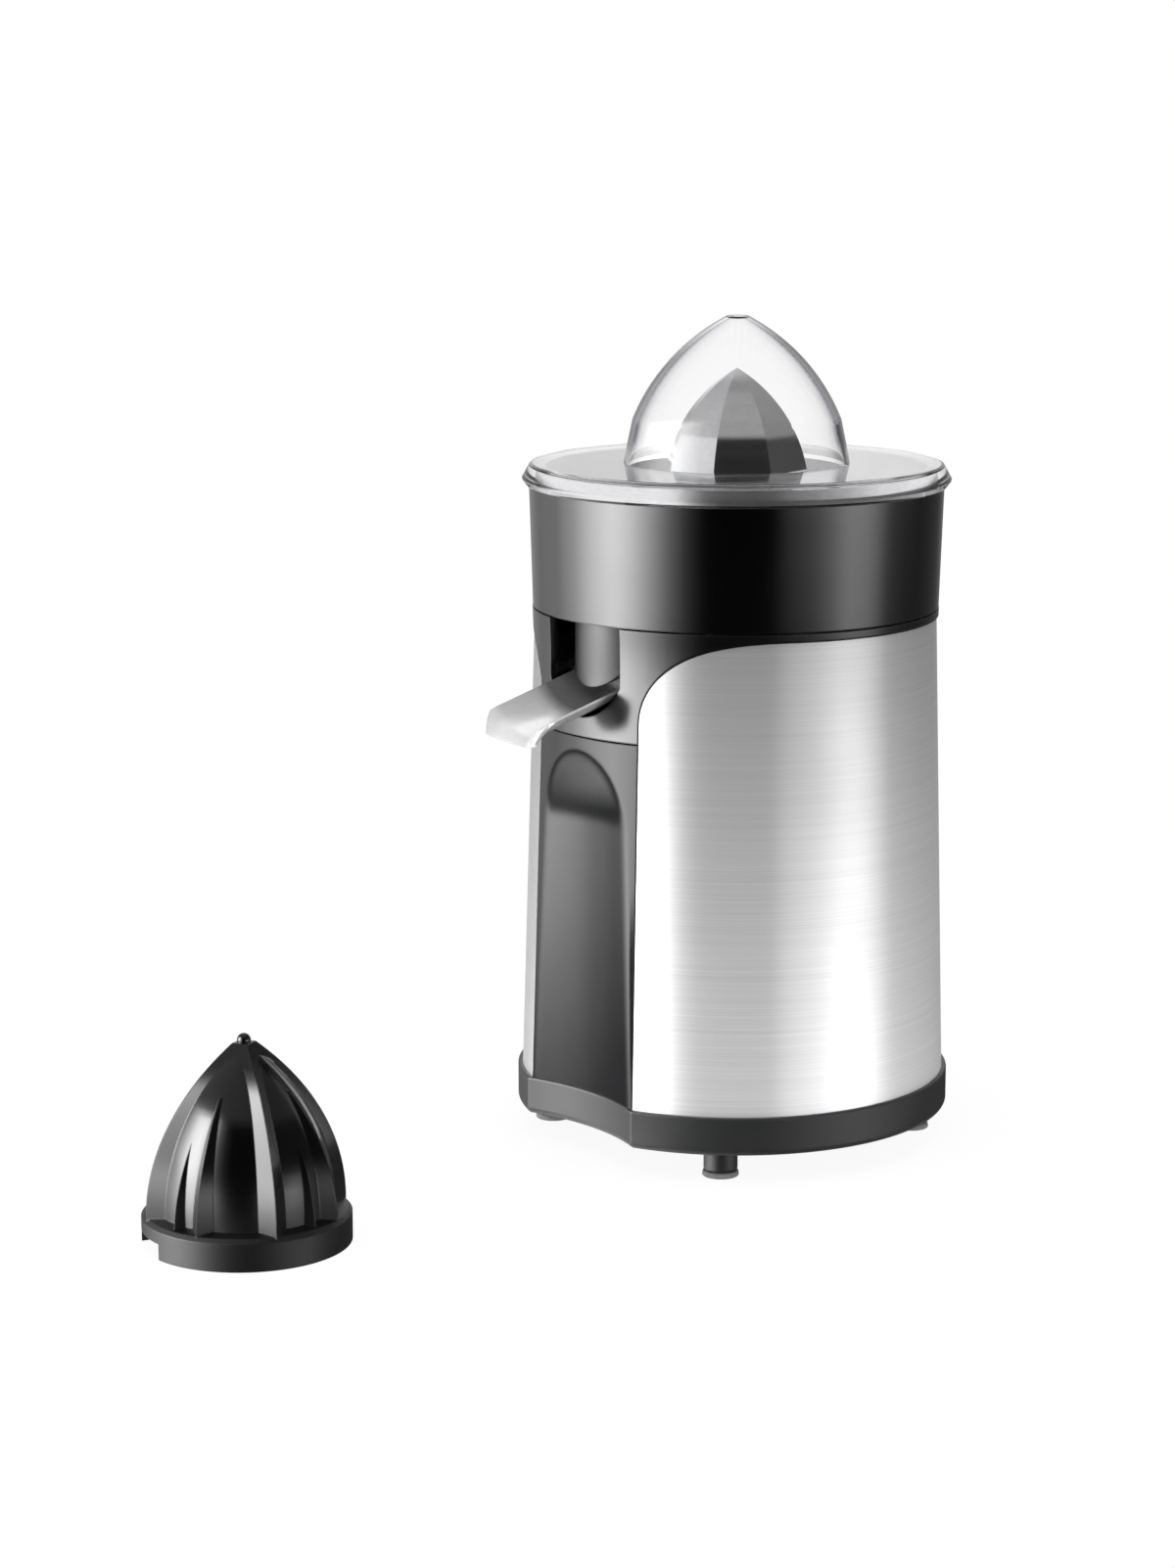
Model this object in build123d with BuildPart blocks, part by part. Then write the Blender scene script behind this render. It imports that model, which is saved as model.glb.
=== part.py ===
from build123d import *
import math
import os

os.makedirs("parts", exist_ok=True)

# Play and overrun that all pieces share
CUT_OVERRUN = 5.0
SEAM_GAP = 0.5
SLIP_GAP = 0.4
SEAT_GAP = 0.05
RUNNING_GAP = 0.05
AXIAL_PLAY = 0.2

# Housing outline: the origin is on the machine's axis at table height, the spout points to -Y
FOOT_HEIGHT = 11.4
BASE_HEIGHT = 15.3
PANEL_HEIGHT = 144.1
COLLAR_HEIGHT = 44.1
BASE_RADIUS = 87.5
BASE_LEDGE = 1.9
HOUSING_DRAFT = 5.4
SHELL_SHEET = 0.8
TOP_BAND_HEIGHT = 2.9

# Black front between the steel edges: a tapering strip that opens into two arches under the bowl
FRONT_LOW_HALF_WIDTH = 30.7
FRONT_HIGH_HALF_WIDTH = 29.2
ARCH_RISE = 33.0
ARCH_REACH_SHARE = 0.534

# Concave recess for the glass, swept about an upright axis in front of the press
RECESS_DEPTH = 9.6
RECESS_RADIUS = 96.0
RECESS_RUNOUT_HEIGHT = 35.6
RECESS_RUNOUT_RADIUS = 72.0

# Base tray, feet and the bolts that tie it to the collar
BASE_WALL = 3.0
BASE_FLOOR = 3.0
BASE_EDGE_FILLET = 2.5
BASE_TOP_FILLET = 0.8
NOTCH_CORNER_FILLET = 2.0
LOCATING_RIM_HEIGHT = 4.0
LOCATING_RIM_WALL = 2.0
VENT_COUNT = 7
VENT_LENGTH = 50.0
VENT_WIDTH = 3.0
VENT_PITCH = 8.0
FOOT_COUNT = 4
FOOT_INSET = 14.0
FOOT_RADIUS = 6.7
FOOT_PEG_RADIUS = 3.0
PAD_RADIUS = 7.2
PAD_HEIGHT = 2.2
PAD_EDGE = 0.4
TIE_INSET = 10.2
TIE_ANGLE = 35.0
TIE_RADIUS = 2.5
TIE_HEAD_RADIUS = 4.3
TIE_HEAD_HEIGHT = 3.0
TIE_BOSS_RADIUS = 5.6
TIE_BOSS_DEPTH = 14.0

# Cord gland in the back of the base
GLAND_BORE = 3.6
GLAND_RADIUS = 6.0
GLAND_FLANGE = 1.8
GLAND_FLANGE_THICKNESS = 1.6

# Front panel
PANEL_WALL = 2.6
PANEL_LAP = 4.0

# Collar with its deck, spout pocket and slot
COLLAR_WALL = 3.0
COLLAR_FLARE = 1.0
COLLAR_FLARE_DROP = 25.0
SLEEVE_HEIGHT = 16.0
SLEEVE_WALL = 2.0
DECK_DROP = 8.5
DECK_THICKNESS = 3.0
DECK_BOSS_RADIUS = 15.0
DECK_BOSS_RISE = 6.5
DECK_BOSS_DROP = 5.5
POCKET_SIDE_GAP = 3.1
POCKET_WALL = 2.5
POCKET_DEPTH = 25.7
POCKET_FLOOR_RISE = 4.0
SLOT_REVEAL = 0.6
SLOT_SILL = 7.7
SLOT_ROUNDING = 13.4
POST_COUNT = 4
POST_INSET = 22.2
POST_START_ANGLE = 45.0
POST_RADIUS = 4.5
SCREW_RADIUS = 1.5
SCREW_HEAD_RADIUS = 3.0
SCREW_HEAD_HEIGHT = 2.0
SCREW_DEPTH = 10.0

# Spout: a steel gutter that slopes down and rolls over at its lip
SPOUT_SHEET = 1.0
SPOUT_HALF_WIDTH = 18.5
SPOUT_DEPTH = 8.0
SPOUT_SLOPE = 14.8
SPOUT_REAR_GAP = 2.0
SPOUT_REAR_RISE = 13.4
SPOUT_STRAIGHT = 49.6
SPOUT_LIP_RADIUS = 12.0
SPOUT_LIP_TURN = 40.0
SPOUT_LIP_CORNER = 12.0
SPOUT_PIN_RADIUS = 1.8
SPOUT_PIN_REACH = 7.5
SPOUT_PIN_RISE = 4.8
SPOUT_PIN_BITE = 1.5

# Juice bowl
BOWL_INSET = 0.2
BOWL_FLARE = 1.5
BOWL_SIDE_HEIGHT = 48.6
BOWL_WALL = 2.5
BOWL_RIM_STEP = 3.3
BOWL_RIM_WALL = 2.2
BOWL_RIM_HEIGHT = 4.8
BOWL_FLOOR = 2.5
BOWL_FLOOR_RISE = 4.5
BOWL_FLOOR_FALL = 3.0
BOWL_TUBE_PLAY = 1.2
BOWL_TUBE_WALL = 2.0
BOWL_TUBE_GAP = 1.7
CHUTE_SIDE_GAP = 4.0
CHUTE_INSET = 4.2
CHUTE_BULGE = 5.0
CHUTE_DEPTH = 14.5
CHUTE_WALL = 2.2
CHUTE_SPOUT_GAP = 1.6
CHUTE_ROUNDING = 7.3

# Strainer dish
STRAINER_SHEET = 0.8
STRAINER_SKIRT_INSET = 0.7
STRAINER_SKIRT_GAP = 0.8
STRAINER_SKIRT_FLARE = 1.2
STRAINER_RIM_WIDTH = 5.0
STRAINER_DRAFT = 6.6
STRAINER_DEPTH = 31.6
STRAINER_HUB_LOW_RADIUS = 31.0
STRAINER_HUB_DRAFT = 5.0
STRAINER_HUB_HEIGHT = 26.4
STRAINER_HUB_PLAY = 2.3
SIEVE_SEAT = 1.0
SIEVE_SLOT_COUNT = 40
SIEVE_SLOT_WIDTH = 1.8
SIEVE_BORDER = 6.0

# Clear lid with its dome
LID_WALL = 1.8
LID_OVERHANG = 0.2
LID_SKIRT_FLARE = 3.3
LID_SKIRT_HEIGHT = 6.3
LID_EDGE_WIDTH = 2.2
LID_CORNER_WALL = 1.0
LID_EDGE_HEIGHT = 9.0
LID_SEAT_HEIGHT = 0.9
LID_SEAT_INSET = 1.0
LID_SEAT_WALL = 1.5
DOME_FOOT_RADIUS = 45.0
DOME_DRAFT = 3.6
DOME_SHOULDER_SHARE = 0.294
DOME_FLANK_REACH_SHARE = 0.629
DOME_FLANK_RISE_SHARE = 0.668
DOME_TOP_RADIUS = 4.0
DOME_HEIGHT = 57.8

# Small cone: an eight-sided pointed cone of polished steel on a plastic hub
CONE_FACETS = 8
CONE_TURN = 8.0
CONE_WALL = 1.2
CONE_FACET_REACH = 27.2
CONE_FLANK_REACH_SHARE = 0.78
CONE_FLANK_RISE_SHARE = 0.46
CONE_HEIGHT = 41.3
CONE_FLANGE_LIP = 2.0
CONE_FLANGE_HEIGHT = 1.0
CONE_CLEARANCE = 2.4
HUB_SLEEVE_RADIUS = 8.2
HUB_SLEEVE_DROP = 27.0
HUB_SLEEVE_RISE = 26.0
HUB_DISC_HEIGHT = 2.6
HUB_RIB_THICKNESS = 2.0
HUB_RIB_HEIGHT = 12.0
HUB_RIB_REACH_SHARE = 0.625
HEX_HEIGHT = 26.0
HEX_CAP = 3.0

# Large cone, standing on the table in front of the spout
BIG_CONE_STAND = 240.0
BIG_CONE_TURN = -18.0
BIG_CONE_HEIGHT = 74.0
BIG_RING_RADIUS = 39.0
BIG_RING_HEIGHT = 10.5
BIG_RING_WALL = 2.6
BIG_LEDGE_RISE = 2.5
BIG_LEDGE_CHAMFER = 1.6
BIG_LEDGE_WIDTH = 6.0
BIG_CORE_FLANK_REACH_SHARE = 0.718
BIG_CORE_FLANK_RISE_SHARE = 0.54
BIG_CORE_TOP_RADIUS = 3.0
BIG_RIB_INSET = 0.6
BIG_RIB_FLANK_REACH_SHARE = 0.841
BIG_RIB_FLANK_RISE_SHARE = 0.534
BIG_RIB_TOP_REACH = 4.5
BIG_RIB_TOP_RISE = 1.5
BIG_RIB_HALF_ANGLE = 42.0
BIG_SIDE_RIB_TURN = 45.0
BIG_SIDE_RIB_INSET = 1.0
BIG_SIDE_RIB_FLANK_REACH_SHARE = 0.86
BIG_SIDE_RIB_FLANK_RISE_SHARE = 0.46
BIG_SIDE_RIB_TOP_REACH_SHARE = 0.47
BIG_SIDE_RIB_TOP_RISE_SHARE = 0.8
BIG_SIDE_RIB_HALF_ANGLE = 40.0
BIG_FINE_RIB_TURN = 27.0
BIG_FINE_RIB_INSET = 2.6
BIG_FINE_RIB_FLANK_REACH_SHARE = 0.862
BIG_FINE_RIB_FLANK_RISE_SHARE = 0.37
BIG_FINE_RIB_TOP_REACH_SHARE = 0.667
BIG_FINE_RIB_TOP_RISE_SHARE = 0.6
BIG_FINE_RIB_HALF_ANGLE = 38.0
BIG_CORE_WALL = 2.0
BIG_NOTCH_WIDTH = 24.0
BIG_NOTCH_HEIGHT = 6.0
BIG_KNOB_RADIUS = 2.6
BIG_NECK_RADIUS = 2.0
BIG_NECK_HEIGHT = 0.6

# Gear train: two reductions that bring the motion back to the machine's axis
GEAR_MODULE = 1.0
PINION_TEETH = 12
WHEEL_TEETH = 48
PRESSURE_ANGLE = 20.0
PINION_ADDENDUM = 1.0
WHEEL_ADDENDUM = 0.75
TOOTH_CLEARANCE = 0.45
TOOTH_THINNING = 0.12
FLANK_SHARES = (0.0, 0.3, 0.65, 1.0)
OUTPUT_GEAR_WIDTH = 9.0
IDLER_GEAR_WIDTH = 8.0
PINION_WIDTH = 11.5
PINION_REST = 2.5

# Drive shaft, its bearings and the press switch under it
SHAFT_RADIUS = 4.0
JOURNAL_RADIUS = 3.0
JOURNAL_LENGTH = 12.2
BUSH_RADIUS = 7.0
SEAL_HEIGHT = 3.0
THRUST_WASHER_RADIUS = 9.0
THRUST_WASHER_HEIGHT = 1.0
PRESS_TRAVEL = 2.0
PRESS_PLATE_HEIGHT = 2.5
PRESS_PLATE_RADIUS = 16.0
PRESS_TAB_HALF_WIDTH = 4.0
PRESS_LEG_RADIUS = 1.5
PRESS_LEG_REACH = 12.5
SPRING_HEIGHT = 8.0
SPRING_RADIUS = 8.0
SPRING_WIRE = 0.5
BRIDGE_THICKNESS = 3.0
BRIDGE_RADIUS = 17.0
BRIDGE_EAR_RADIUS = 6.0
BRIDGE_EAR_REACH = 14.0
BRIDGE_EAR_START_ANGLE = 200.0
BRIDGE_EAR_RANGE = 140.0
BRIDGE_EAR_COUNT = 3
BRIDGE_BUSH_RADIUS = 6.0
BRIDGE_BUSH_RISE = 4.0
SPACER_RADIUS = 4.0
SPACER_HEIGHT = 17.0
SWITCH_LENGTH = 20.0
SWITCH_WIDTH = 6.4
SWITCH_HEIGHT = 6.0
SWITCH_SETBACK = 21.0
BUTTON_RADIUS = 1.2
BUTTON_BITE = 0.8

# Motor hanging under the gear plate
PLATE_THICKNESS = 3.0
PLATE_MARGIN = 2.5
AXLE_RADIUS = 2.5
AXLE_BOSS_RADIUS = 6.0
AXLE_BITE = 4.0
MOTOR_SHAFT_RADIUS = 3.0
MOTOR_BUSH_RADIUS = 6.0
MOTOR_BUSH_HEIGHT = 8.0
MOTOR_TOP_SPACE = 14.0
STACK_HEIGHT = 40.0
STATOR_SIDE = 66.0
STATOR_CORNER = 14.0
ROTOR_RADIUS = 20.0
AIR_GAP = 0.5
WINDING_INNER_RADIUS = 22.0
WINDING_OUTER_RADIUS = 30.0
WINDING_HEIGHT = 8.0
MOTOR_BOLT_REACH = 26.0
MOTOR_BOLT_RADIUS = 2.0
MOTOR_BOLT_HEAD_RADIUS = 3.6
MOTOR_BOLT_HEAD_HEIGHT = 2.5
MOTOR_SPACER_RADIUS = 4.0
BRACKET_SPACE = 10.0
BRACKET_THICKNESS = 4.0
BRACKET_BAR_WIDTH = 12.0
BRACKET_HUB_RADIUS = 9.0
FAN_RADIUS = 26.0
FAN_HUB_RADIUS = 6.0
FAN_HEIGHT = 9.0
FAN_DISC = 1.5
FAN_BLADES = 8
FAN_BLADE_THICKNESS = 1.4
FAN_SPACE = 4.0
SHAFT_TAIL = 2.0

# Heights that follow from the sizes above
base_bottom = FOOT_HEIGHT
base_top = base_bottom + BASE_HEIGHT
base_floor_top = base_bottom + BASE_FLOOR
seam_z = base_top + PANEL_HEIGHT
collar_top = seam_z + COLLAR_HEIGHT
shell_top = collar_top - TOP_BAND_HEIGHT
arch_spring = shell_top - ARCH_RISE
gland_drop = BASE_HEIGHT / 2
pocket_floor = seam_z + POCKET_FLOOR_RISE
slot_bottom = seam_z + SLOT_SILL
slot_spring = slot_bottom + SLOT_ROUNDING
spout_rear_z = pocket_floor + SPOUT_REAR_RISE
spout_pin_z = spout_rear_z + SPOUT_PIN_RISE
chute_bottom = spout_rear_z + CHUTE_SPOUT_GAP
deck_top = collar_top - DECK_DROP
deck_underside = deck_top - DECK_THICKNESS
boss_top = deck_top + DECK_BOSS_RISE
boss_bottom = deck_underside - DECK_BOSS_DROP
output_gear_top = boss_bottom - THRUST_WASHER_HEIGHT - AXIAL_PLAY
output_gear_bottom = output_gear_top - OUTPUT_GEAR_WIDTH
press_plate_bottom = output_gear_bottom - AXIAL_PLAY - PRESS_PLATE_HEIGHT
bridge_top = press_plate_bottom - SPRING_HEIGHT
bridge_bottom = bridge_top - BRIDGE_THICKNESS
plate_top = bridge_bottom - SPACER_HEIGHT
plate_bottom = plate_top - PLATE_THICKNESS
pinion_bottom = plate_top + PINION_REST
pinion_top = pinion_bottom + PINION_WIDTH
stator_top = plate_bottom - MOTOR_TOP_SPACE
stator_bottom = stator_top - STACK_HEIGHT
bracket_top = stator_bottom - BRACKET_SPACE
bracket_bottom = bracket_top - BRACKET_THICKNESS
fan_top = bracket_bottom - FAN_SPACE
fan_bottom = fan_top - FAN_HEIGHT
bowl_bottom = collar_top + SEAM_GAP
bowl_side_top = bowl_bottom + BOWL_SIDE_HEIGHT
bowl_rim_top = bowl_side_top + BOWL_RIM_HEIGHT
bowl_floor_z = bowl_bottom + BOWL_FLOOR_RISE
strainer_top = bowl_rim_top + STRAINER_SHEET
strainer_floor = strainer_top - STRAINER_DEPTH
strainer_hub_top = strainer_floor + STRAINER_HUB_HEIGHT
bowl_tube_top = strainer_hub_top - STRAINER_SHEET - BOWL_TUBE_GAP
cone_base = strainer_hub_top + PRESS_TRAVEL + CONE_CLEARANCE - CONE_FLANGE_HEIGHT
cone_bottom = cone_base - CONE_FLANGE_HEIGHT
lid_underside = strainer_top + LID_SEAT_HEIGHT
lid_top = lid_underside + LID_WALL
dome_shoulder = lid_top + DOME_SHOULDER_SHARE * DOME_HEIGHT
dome_flank = lid_top + DOME_FLANK_RISE_SHARE * DOME_HEIGHT
cone_flank_height = CONE_FLANK_RISE_SHARE * CONE_HEIGHT
big_ledge_height = BIG_RING_HEIGHT + BIG_LEDGE_RISE
big_core_flank_height = BIG_CORE_FLANK_RISE_SHARE * BIG_CONE_HEIGHT
pinion_pitch = GEAR_MODULE * PINION_TEETH / 2
wheel_pitch = GEAR_MODULE * WHEEL_TEETH / 2
gear_centres = pinion_pitch + wheel_pitch
idler_centre = (0, gear_centres)

# Widths and reaches that follow from the sizes above
housing_low_radius = BASE_RADIUS - BASE_LEDGE
housing_high_radius = housing_low_radius - HOUSING_DRAFT
arch_reach = ARCH_REACH_SHARE * housing_high_radius
recess_axis_reach = housing_low_radius - RECESS_DEPTH + RECESS_RADIUS
foot_circle = BASE_RADIUS - FOOT_INSET
tie_circle = housing_high_radius - TIE_INSET
tie_reach_x = tie_circle * math.cos(math.radians(TIE_ANGLE))
tie_reach_y = tie_circle * math.sin(math.radians(TIE_ANGLE))
post_circle = housing_high_radius - POST_INSET
plate_radius = post_circle + POST_RADIUS + PLATE_MARGIN
bridge_ear_circle = BRIDGE_RADIUS + BRIDGE_EAR_REACH
collar_top_radius = housing_high_radius + COLLAR_FLARE
pocket_back = housing_high_radius - POCKET_DEPTH
pocket_half_width = SPOUT_HALF_WIDTH + POCKET_SIDE_GAP
slot_half_width = pocket_half_width - SLOT_REVEAL
spout_rear = pocket_back + SPOUT_REAR_GAP
spout_pin_reach = spout_rear + SPOUT_PIN_REACH
chute_half_width = SPOUT_HALF_WIDTH - CHUTE_SIDE_GAP
chute_front = housing_high_radius - CHUTE_INSET
chute_back = chute_front - CHUTE_DEPTH
bowl_low_radius = collar_top_radius - BOWL_INSET
bowl_high_radius = bowl_low_radius + BOWL_FLARE
bowl_rim_radius = bowl_high_radius - BOWL_RIM_STEP
bowl_tube_bore = HUB_SLEEVE_RADIUS + BOWL_TUBE_PLAY
strainer_skirt_radius = bowl_high_radius - STRAINER_SKIRT_INSET
strainer_rim_radius = strainer_skirt_radius - STRAINER_SKIRT_FLARE
strainer_mouth_radius = strainer_rim_radius - STRAINER_RIM_WIDTH
strainer_floor_radius = strainer_mouth_radius - STRAINER_DRAFT
strainer_hub_high_radius = STRAINER_HUB_LOW_RADIUS - STRAINER_HUB_DRAFT
strainer_hub_bore = HUB_SLEEVE_RADIUS + STRAINER_HUB_PLAY
sieve_slot_length = strainer_floor_radius - STRAINER_HUB_LOW_RADIUS - 2 * SIEVE_BORDER
lid_radius = strainer_skirt_radius + LID_OVERHANG
lid_skirt_radius = lid_radius + LID_SKIRT_FLARE
lid_edge_radius = lid_skirt_radius - LID_EDGE_WIDTH
lid_seat_radius = strainer_rim_radius - LID_SEAT_INSET
dome_shoulder_radius = DOME_FOOT_RADIUS - DOME_DRAFT
dome_flank_radius = DOME_FLANK_REACH_SHARE * DOME_FOOT_RADIUS
cone_flank_reach = CONE_FLANK_REACH_SHARE * CONE_FACET_REACH
cone_flange_radius = CONE_FACET_REACH + CONE_FLANGE_LIP
hub_rib_reach = HUB_RIB_REACH_SHARE * CONE_FACET_REACH
big_core_radius = BIG_RING_RADIUS - BIG_LEDGE_WIDTH
big_core_flank_radius = BIG_CORE_FLANK_REACH_SHARE * BIG_RING_RADIUS


def housing_radius(z):
    """Outer radius of the tapering housing at height z."""
    share = (z - base_top) / (collar_top - base_top)
    return housing_low_radius + (housing_high_radius - housing_low_radius) * share


def front_half_width(z):
    """Half the width of the black front at height z, below the arches."""
    share = (z - base_top) / (arch_spring - base_top)
    return FRONT_LOW_HALF_WIDTH + (FRONT_HIGH_HALF_WIDTH - FRONT_LOW_HALF_WIDTH) * share


def upright_plane(angle, origin=(0, 0, 0)):
    """Plane through origin whose X runs outward at this angle about Z and whose Y runs up."""
    turn = math.radians(angle)
    outward = (math.cos(turn), math.sin(turn), 0)
    sideways = (math.sin(turn), -math.cos(turn), 0)
    return Plane(origin=origin, x_dir=outward, z_dir=sideways)


def housing_core(shrink):
    """Solid of the tapering housing between base and collar top, drawn in by shrink."""
    with BuildPart() as core:
        with BuildSketch(Plane.XZ):
            with BuildLine():
                Polyline(
                    (0, base_top),
                    (housing_radius(base_top) - shrink, base_top),
                    (housing_radius(collar_top) - shrink, collar_top),
                    (0, collar_top),
                    close=True,
                )
            make_face()
        revolve(axis=Axis.Z)
    return core.part


def glass_recess(grow):
    """Solid that hollows the front for the glass, swollen by grow towards the machine."""
    runout_start = seam_z - RECESS_RUNOUT_HEIGHT
    runout_turn = math.degrees(math.asin(RECESS_RUNOUT_HEIGHT / RECESS_RUNOUT_RADIUS))
    axis_point = (0, -recess_axis_reach, 0)
    with BuildPart() as recess:
        with BuildSketch(upright_plane(90, axis_point)):
            with BuildLine():
                side = Line(
                    (RECESS_RADIUS + grow, base_bottom - CUT_OVERRUN), (RECESS_RADIUS + grow, runout_start)
                )
                runout = JernArc(side @ 1, side % 1, RECESS_RUNOUT_RADIUS + grow, runout_turn)
                Polyline(runout @ 1, (0, (runout @ 1).Y), (0, base_bottom - CUT_OVERRUN), side @ 0)
            make_face()
        revolve(axis=Axis(axis_point, (0, 0, 1)))
    return recess.part


def front_opening(grow):
    """Outline of the black front seen from -Y: strip, two arches and the band under the bowl."""
    half_low = front_half_width(base_bottom) + grow
    half_high = FRONT_HIGH_HALF_WIDTH + grow
    arch_centre = (FRONT_HIGH_HALF_WIDTH + arch_reach, arch_spring)
    far_side = BASE_RADIUS + CUT_OVERRUN
    with BuildSketch() as opening:
        with BuildLine():
            Polyline((0, base_bottom), (half_low, base_bottom), (half_high, arch_spring))
            EllipticalCenterArc(
                arch_centre,
                arch_reach - grow,
                ARCH_RISE - grow,
                start_angle=90,
                arc_size=90,
            )
            Polyline(
                (arch_centre[0], shell_top - grow),
                (far_side, shell_top - grow),
                (far_side, collar_top + CUT_OVERRUN),
                (0, collar_top + CUT_OVERRUN),
            )
            mirror(about=Plane.YZ)
        make_face()
    return opening.sketch


def gear_outline(teeth, addendum, dedendum, turn, centre):
    """Corners of a spur gear at centre with involute flanks, its first tooth at turn from X."""
    pitch_radius = GEAR_MODULE * teeth / 2
    pressure = math.radians(PRESSURE_ANGLE)
    base_radius = pitch_radius * math.cos(pressure)
    root_radius = pitch_radius - dedendum
    tip_radius = pitch_radius + addendum
    half_at_pitch = math.pi / (2 * teeth) - TOOTH_THINNING / pitch_radius
    half_at_base = half_at_pitch + math.tan(pressure) - pressure
    flank = []
    for share in FLANK_SHARES:
        radius = root_radius + (tip_radius - root_radius) * share
        roll = math.acos(min(base_radius / radius, 1))
        flank.append((radius, half_at_base - (math.tan(roll) - roll)))
    rising = [(radius, -half) for radius, half in flank]
    corners = []
    for tooth in range(teeth):
        middle = math.radians(turn + 360 * tooth / teeth)
        for radius, aside in rising + flank[::-1]:
            x = centre[0] + radius * math.cos(middle + aside)
            y = centre[1] + radius * math.sin(middle + aside)
            corners.append((x, y))
    return corners


# Dedendum of each gear: the mating addendum and the clearance under it
pinion_dedendum = WHEEL_ADDENDUM + TOOTH_CLEARANCE
wheel_dedendum = PINION_ADDENDUM + TOOTH_CLEARANCE
half_tooth_turn = 360 / WHEEL_TEETH / 2

# Base tray: ring with the glass notch, floor vents, bosses for the tie bolts and the gland's slot
with BuildPart() as base_cavity:
    with BuildSketch(Plane.XY.offset(base_floor_top)):
        Circle(BASE_RADIUS - BASE_WALL)
    extrude(amount=BASE_HEIGHT + LOCATING_RIM_HEIGHT)
    add(glass_recess(BASE_WALL), mode=Mode.SUBTRACT)

with BuildPart() as base:
    with BuildSketch(Plane.XY.offset(base_bottom)):
        Circle(BASE_RADIUS)
    extrude(amount=BASE_HEIGHT)
    add(glass_recess(0), mode=Mode.SUBTRACT)
    fillet(base.edges().filter_by(Axis.Z).sort_by(Axis.Y)[:2], radius=NOTCH_CORNER_FILLET)
    fillet(base.edges().group_by(Axis.Z)[0], radius=BASE_EDGE_FILLET)
    top_edges = base.edges().group_by(Axis.Z)[-1].filter_by(GeomType.CIRCLE)
    outer_edges = top_edges.filter_by(lambda edge: abs(edge.radius - BASE_RADIUS) < SEAT_GAP)
    fillet(outer_edges, radius=BASE_TOP_FILLET)
    add(base_cavity.part, mode=Mode.SUBTRACT)
    rim_radius = housing_radius(base_top + LOCATING_RIM_HEIGHT) - SHELL_SHEET - SEAT_GAP
    with BuildSketch(Plane.XY.offset(base_floor_top)):
        Circle(rim_radius)
        Circle(rim_radius - LOCATING_RIM_WALL, mode=Mode.SUBTRACT)
        front_cut = FRONT_LOW_HALF_WIDTH + PANEL_LAP + SLIP_GAP
        with Locations((0, -BASE_RADIUS)):
            Rectangle(2 * front_cut, BASE_RADIUS, mode=Mode.SUBTRACT)
    extrude(amount=BASE_HEIGHT - BASE_FLOOR + LOCATING_RIM_HEIGHT)
    with BuildSketch(Plane.XY.offset(base_floor_top)):
        with GridLocations(2 * tie_reach_x, 2 * tie_reach_y, 2, 2):
            Circle(TIE_BOSS_RADIUS)
    extrude(amount=BASE_HEIGHT - BASE_FLOOR)
    with BuildSketch(Plane.XY.offset(base_bottom)):
        with GridLocations(2 * tie_reach_x, 2 * tie_reach_y, 2, 2):
            Circle(TIE_HEAD_RADIUS + SLIP_GAP)
    extrude(amount=TIE_HEAD_HEIGHT + SLIP_GAP, mode=Mode.SUBTRACT)
    with BuildSketch(Plane.XY.offset(base_bottom)):
        with GridLocations(2 * tie_reach_x, 2 * tie_reach_y, 2, 2):
            Circle(TIE_RADIUS + SEAT_GAP)
        with PolarLocations(foot_circle, FOOT_COUNT, start_angle=180 / FOOT_COUNT):
            Circle(FOOT_PEG_RADIUS + SEAT_GAP)
        with GridLocations(0, VENT_PITCH, 1, VENT_COUNT):
            SlotOverall(VENT_LENGTH, VENT_WIDTH)
    extrude(amount=BASE_HEIGHT, mode=Mode.SUBTRACT)
    gland_z = base_top - gland_drop
    with BuildSketch(Plane.XZ):
        with Locations((0, gland_z)):
            Circle(GLAND_RADIUS + SEAT_GAP)
        with Locations((0, base_top)):
            Rectangle(2 * (GLAND_RADIUS + SEAT_GAP), 2 * gland_drop)
    extrude(amount=-(BASE_RADIUS + CUT_OVERRUN), mode=Mode.SUBTRACT)
base.part.label = "base"
export_step(base.part, "parts/base.step")

# Feet: a post with a peg pressed into the base, and a grey pad under it
for number in range(FOOT_COUNT):
    foot_angle = math.radians(360 / FOOT_COUNT * (number + 1 / 2))
    foot_place = (foot_circle * math.cos(foot_angle), foot_circle * math.sin(foot_angle), PAD_HEIGHT)
    with BuildPart() as foot:
        with BuildSketch(Plane(foot_place)):
            Circle(FOOT_RADIUS)
        extrude(amount=FOOT_HEIGHT - PAD_HEIGHT)
        with BuildSketch(Plane(foot_place)):
            Circle(FOOT_PEG_RADIUS)
        extrude(amount=FOOT_HEIGHT - PAD_HEIGHT + BASE_FLOOR)
    foot.part.label = f"foot_{number + 1}"
    export_step(foot.part, f"parts/foot_{number + 1}.step")

    with BuildPart() as foot_pad:
        with BuildSketch(Plane(foot_place)):
            Circle(PAD_RADIUS)
        extrude(amount=-PAD_HEIGHT)
        chamfer(foot_pad.edges().filter_by(GeomType.CIRCLE), length=PAD_EDGE)
    foot_pad.part.label = f"foot_pad_{number + 1}"
    export_step(foot_pad.part, f"parts/foot_pad_{number + 1}.step")

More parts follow.
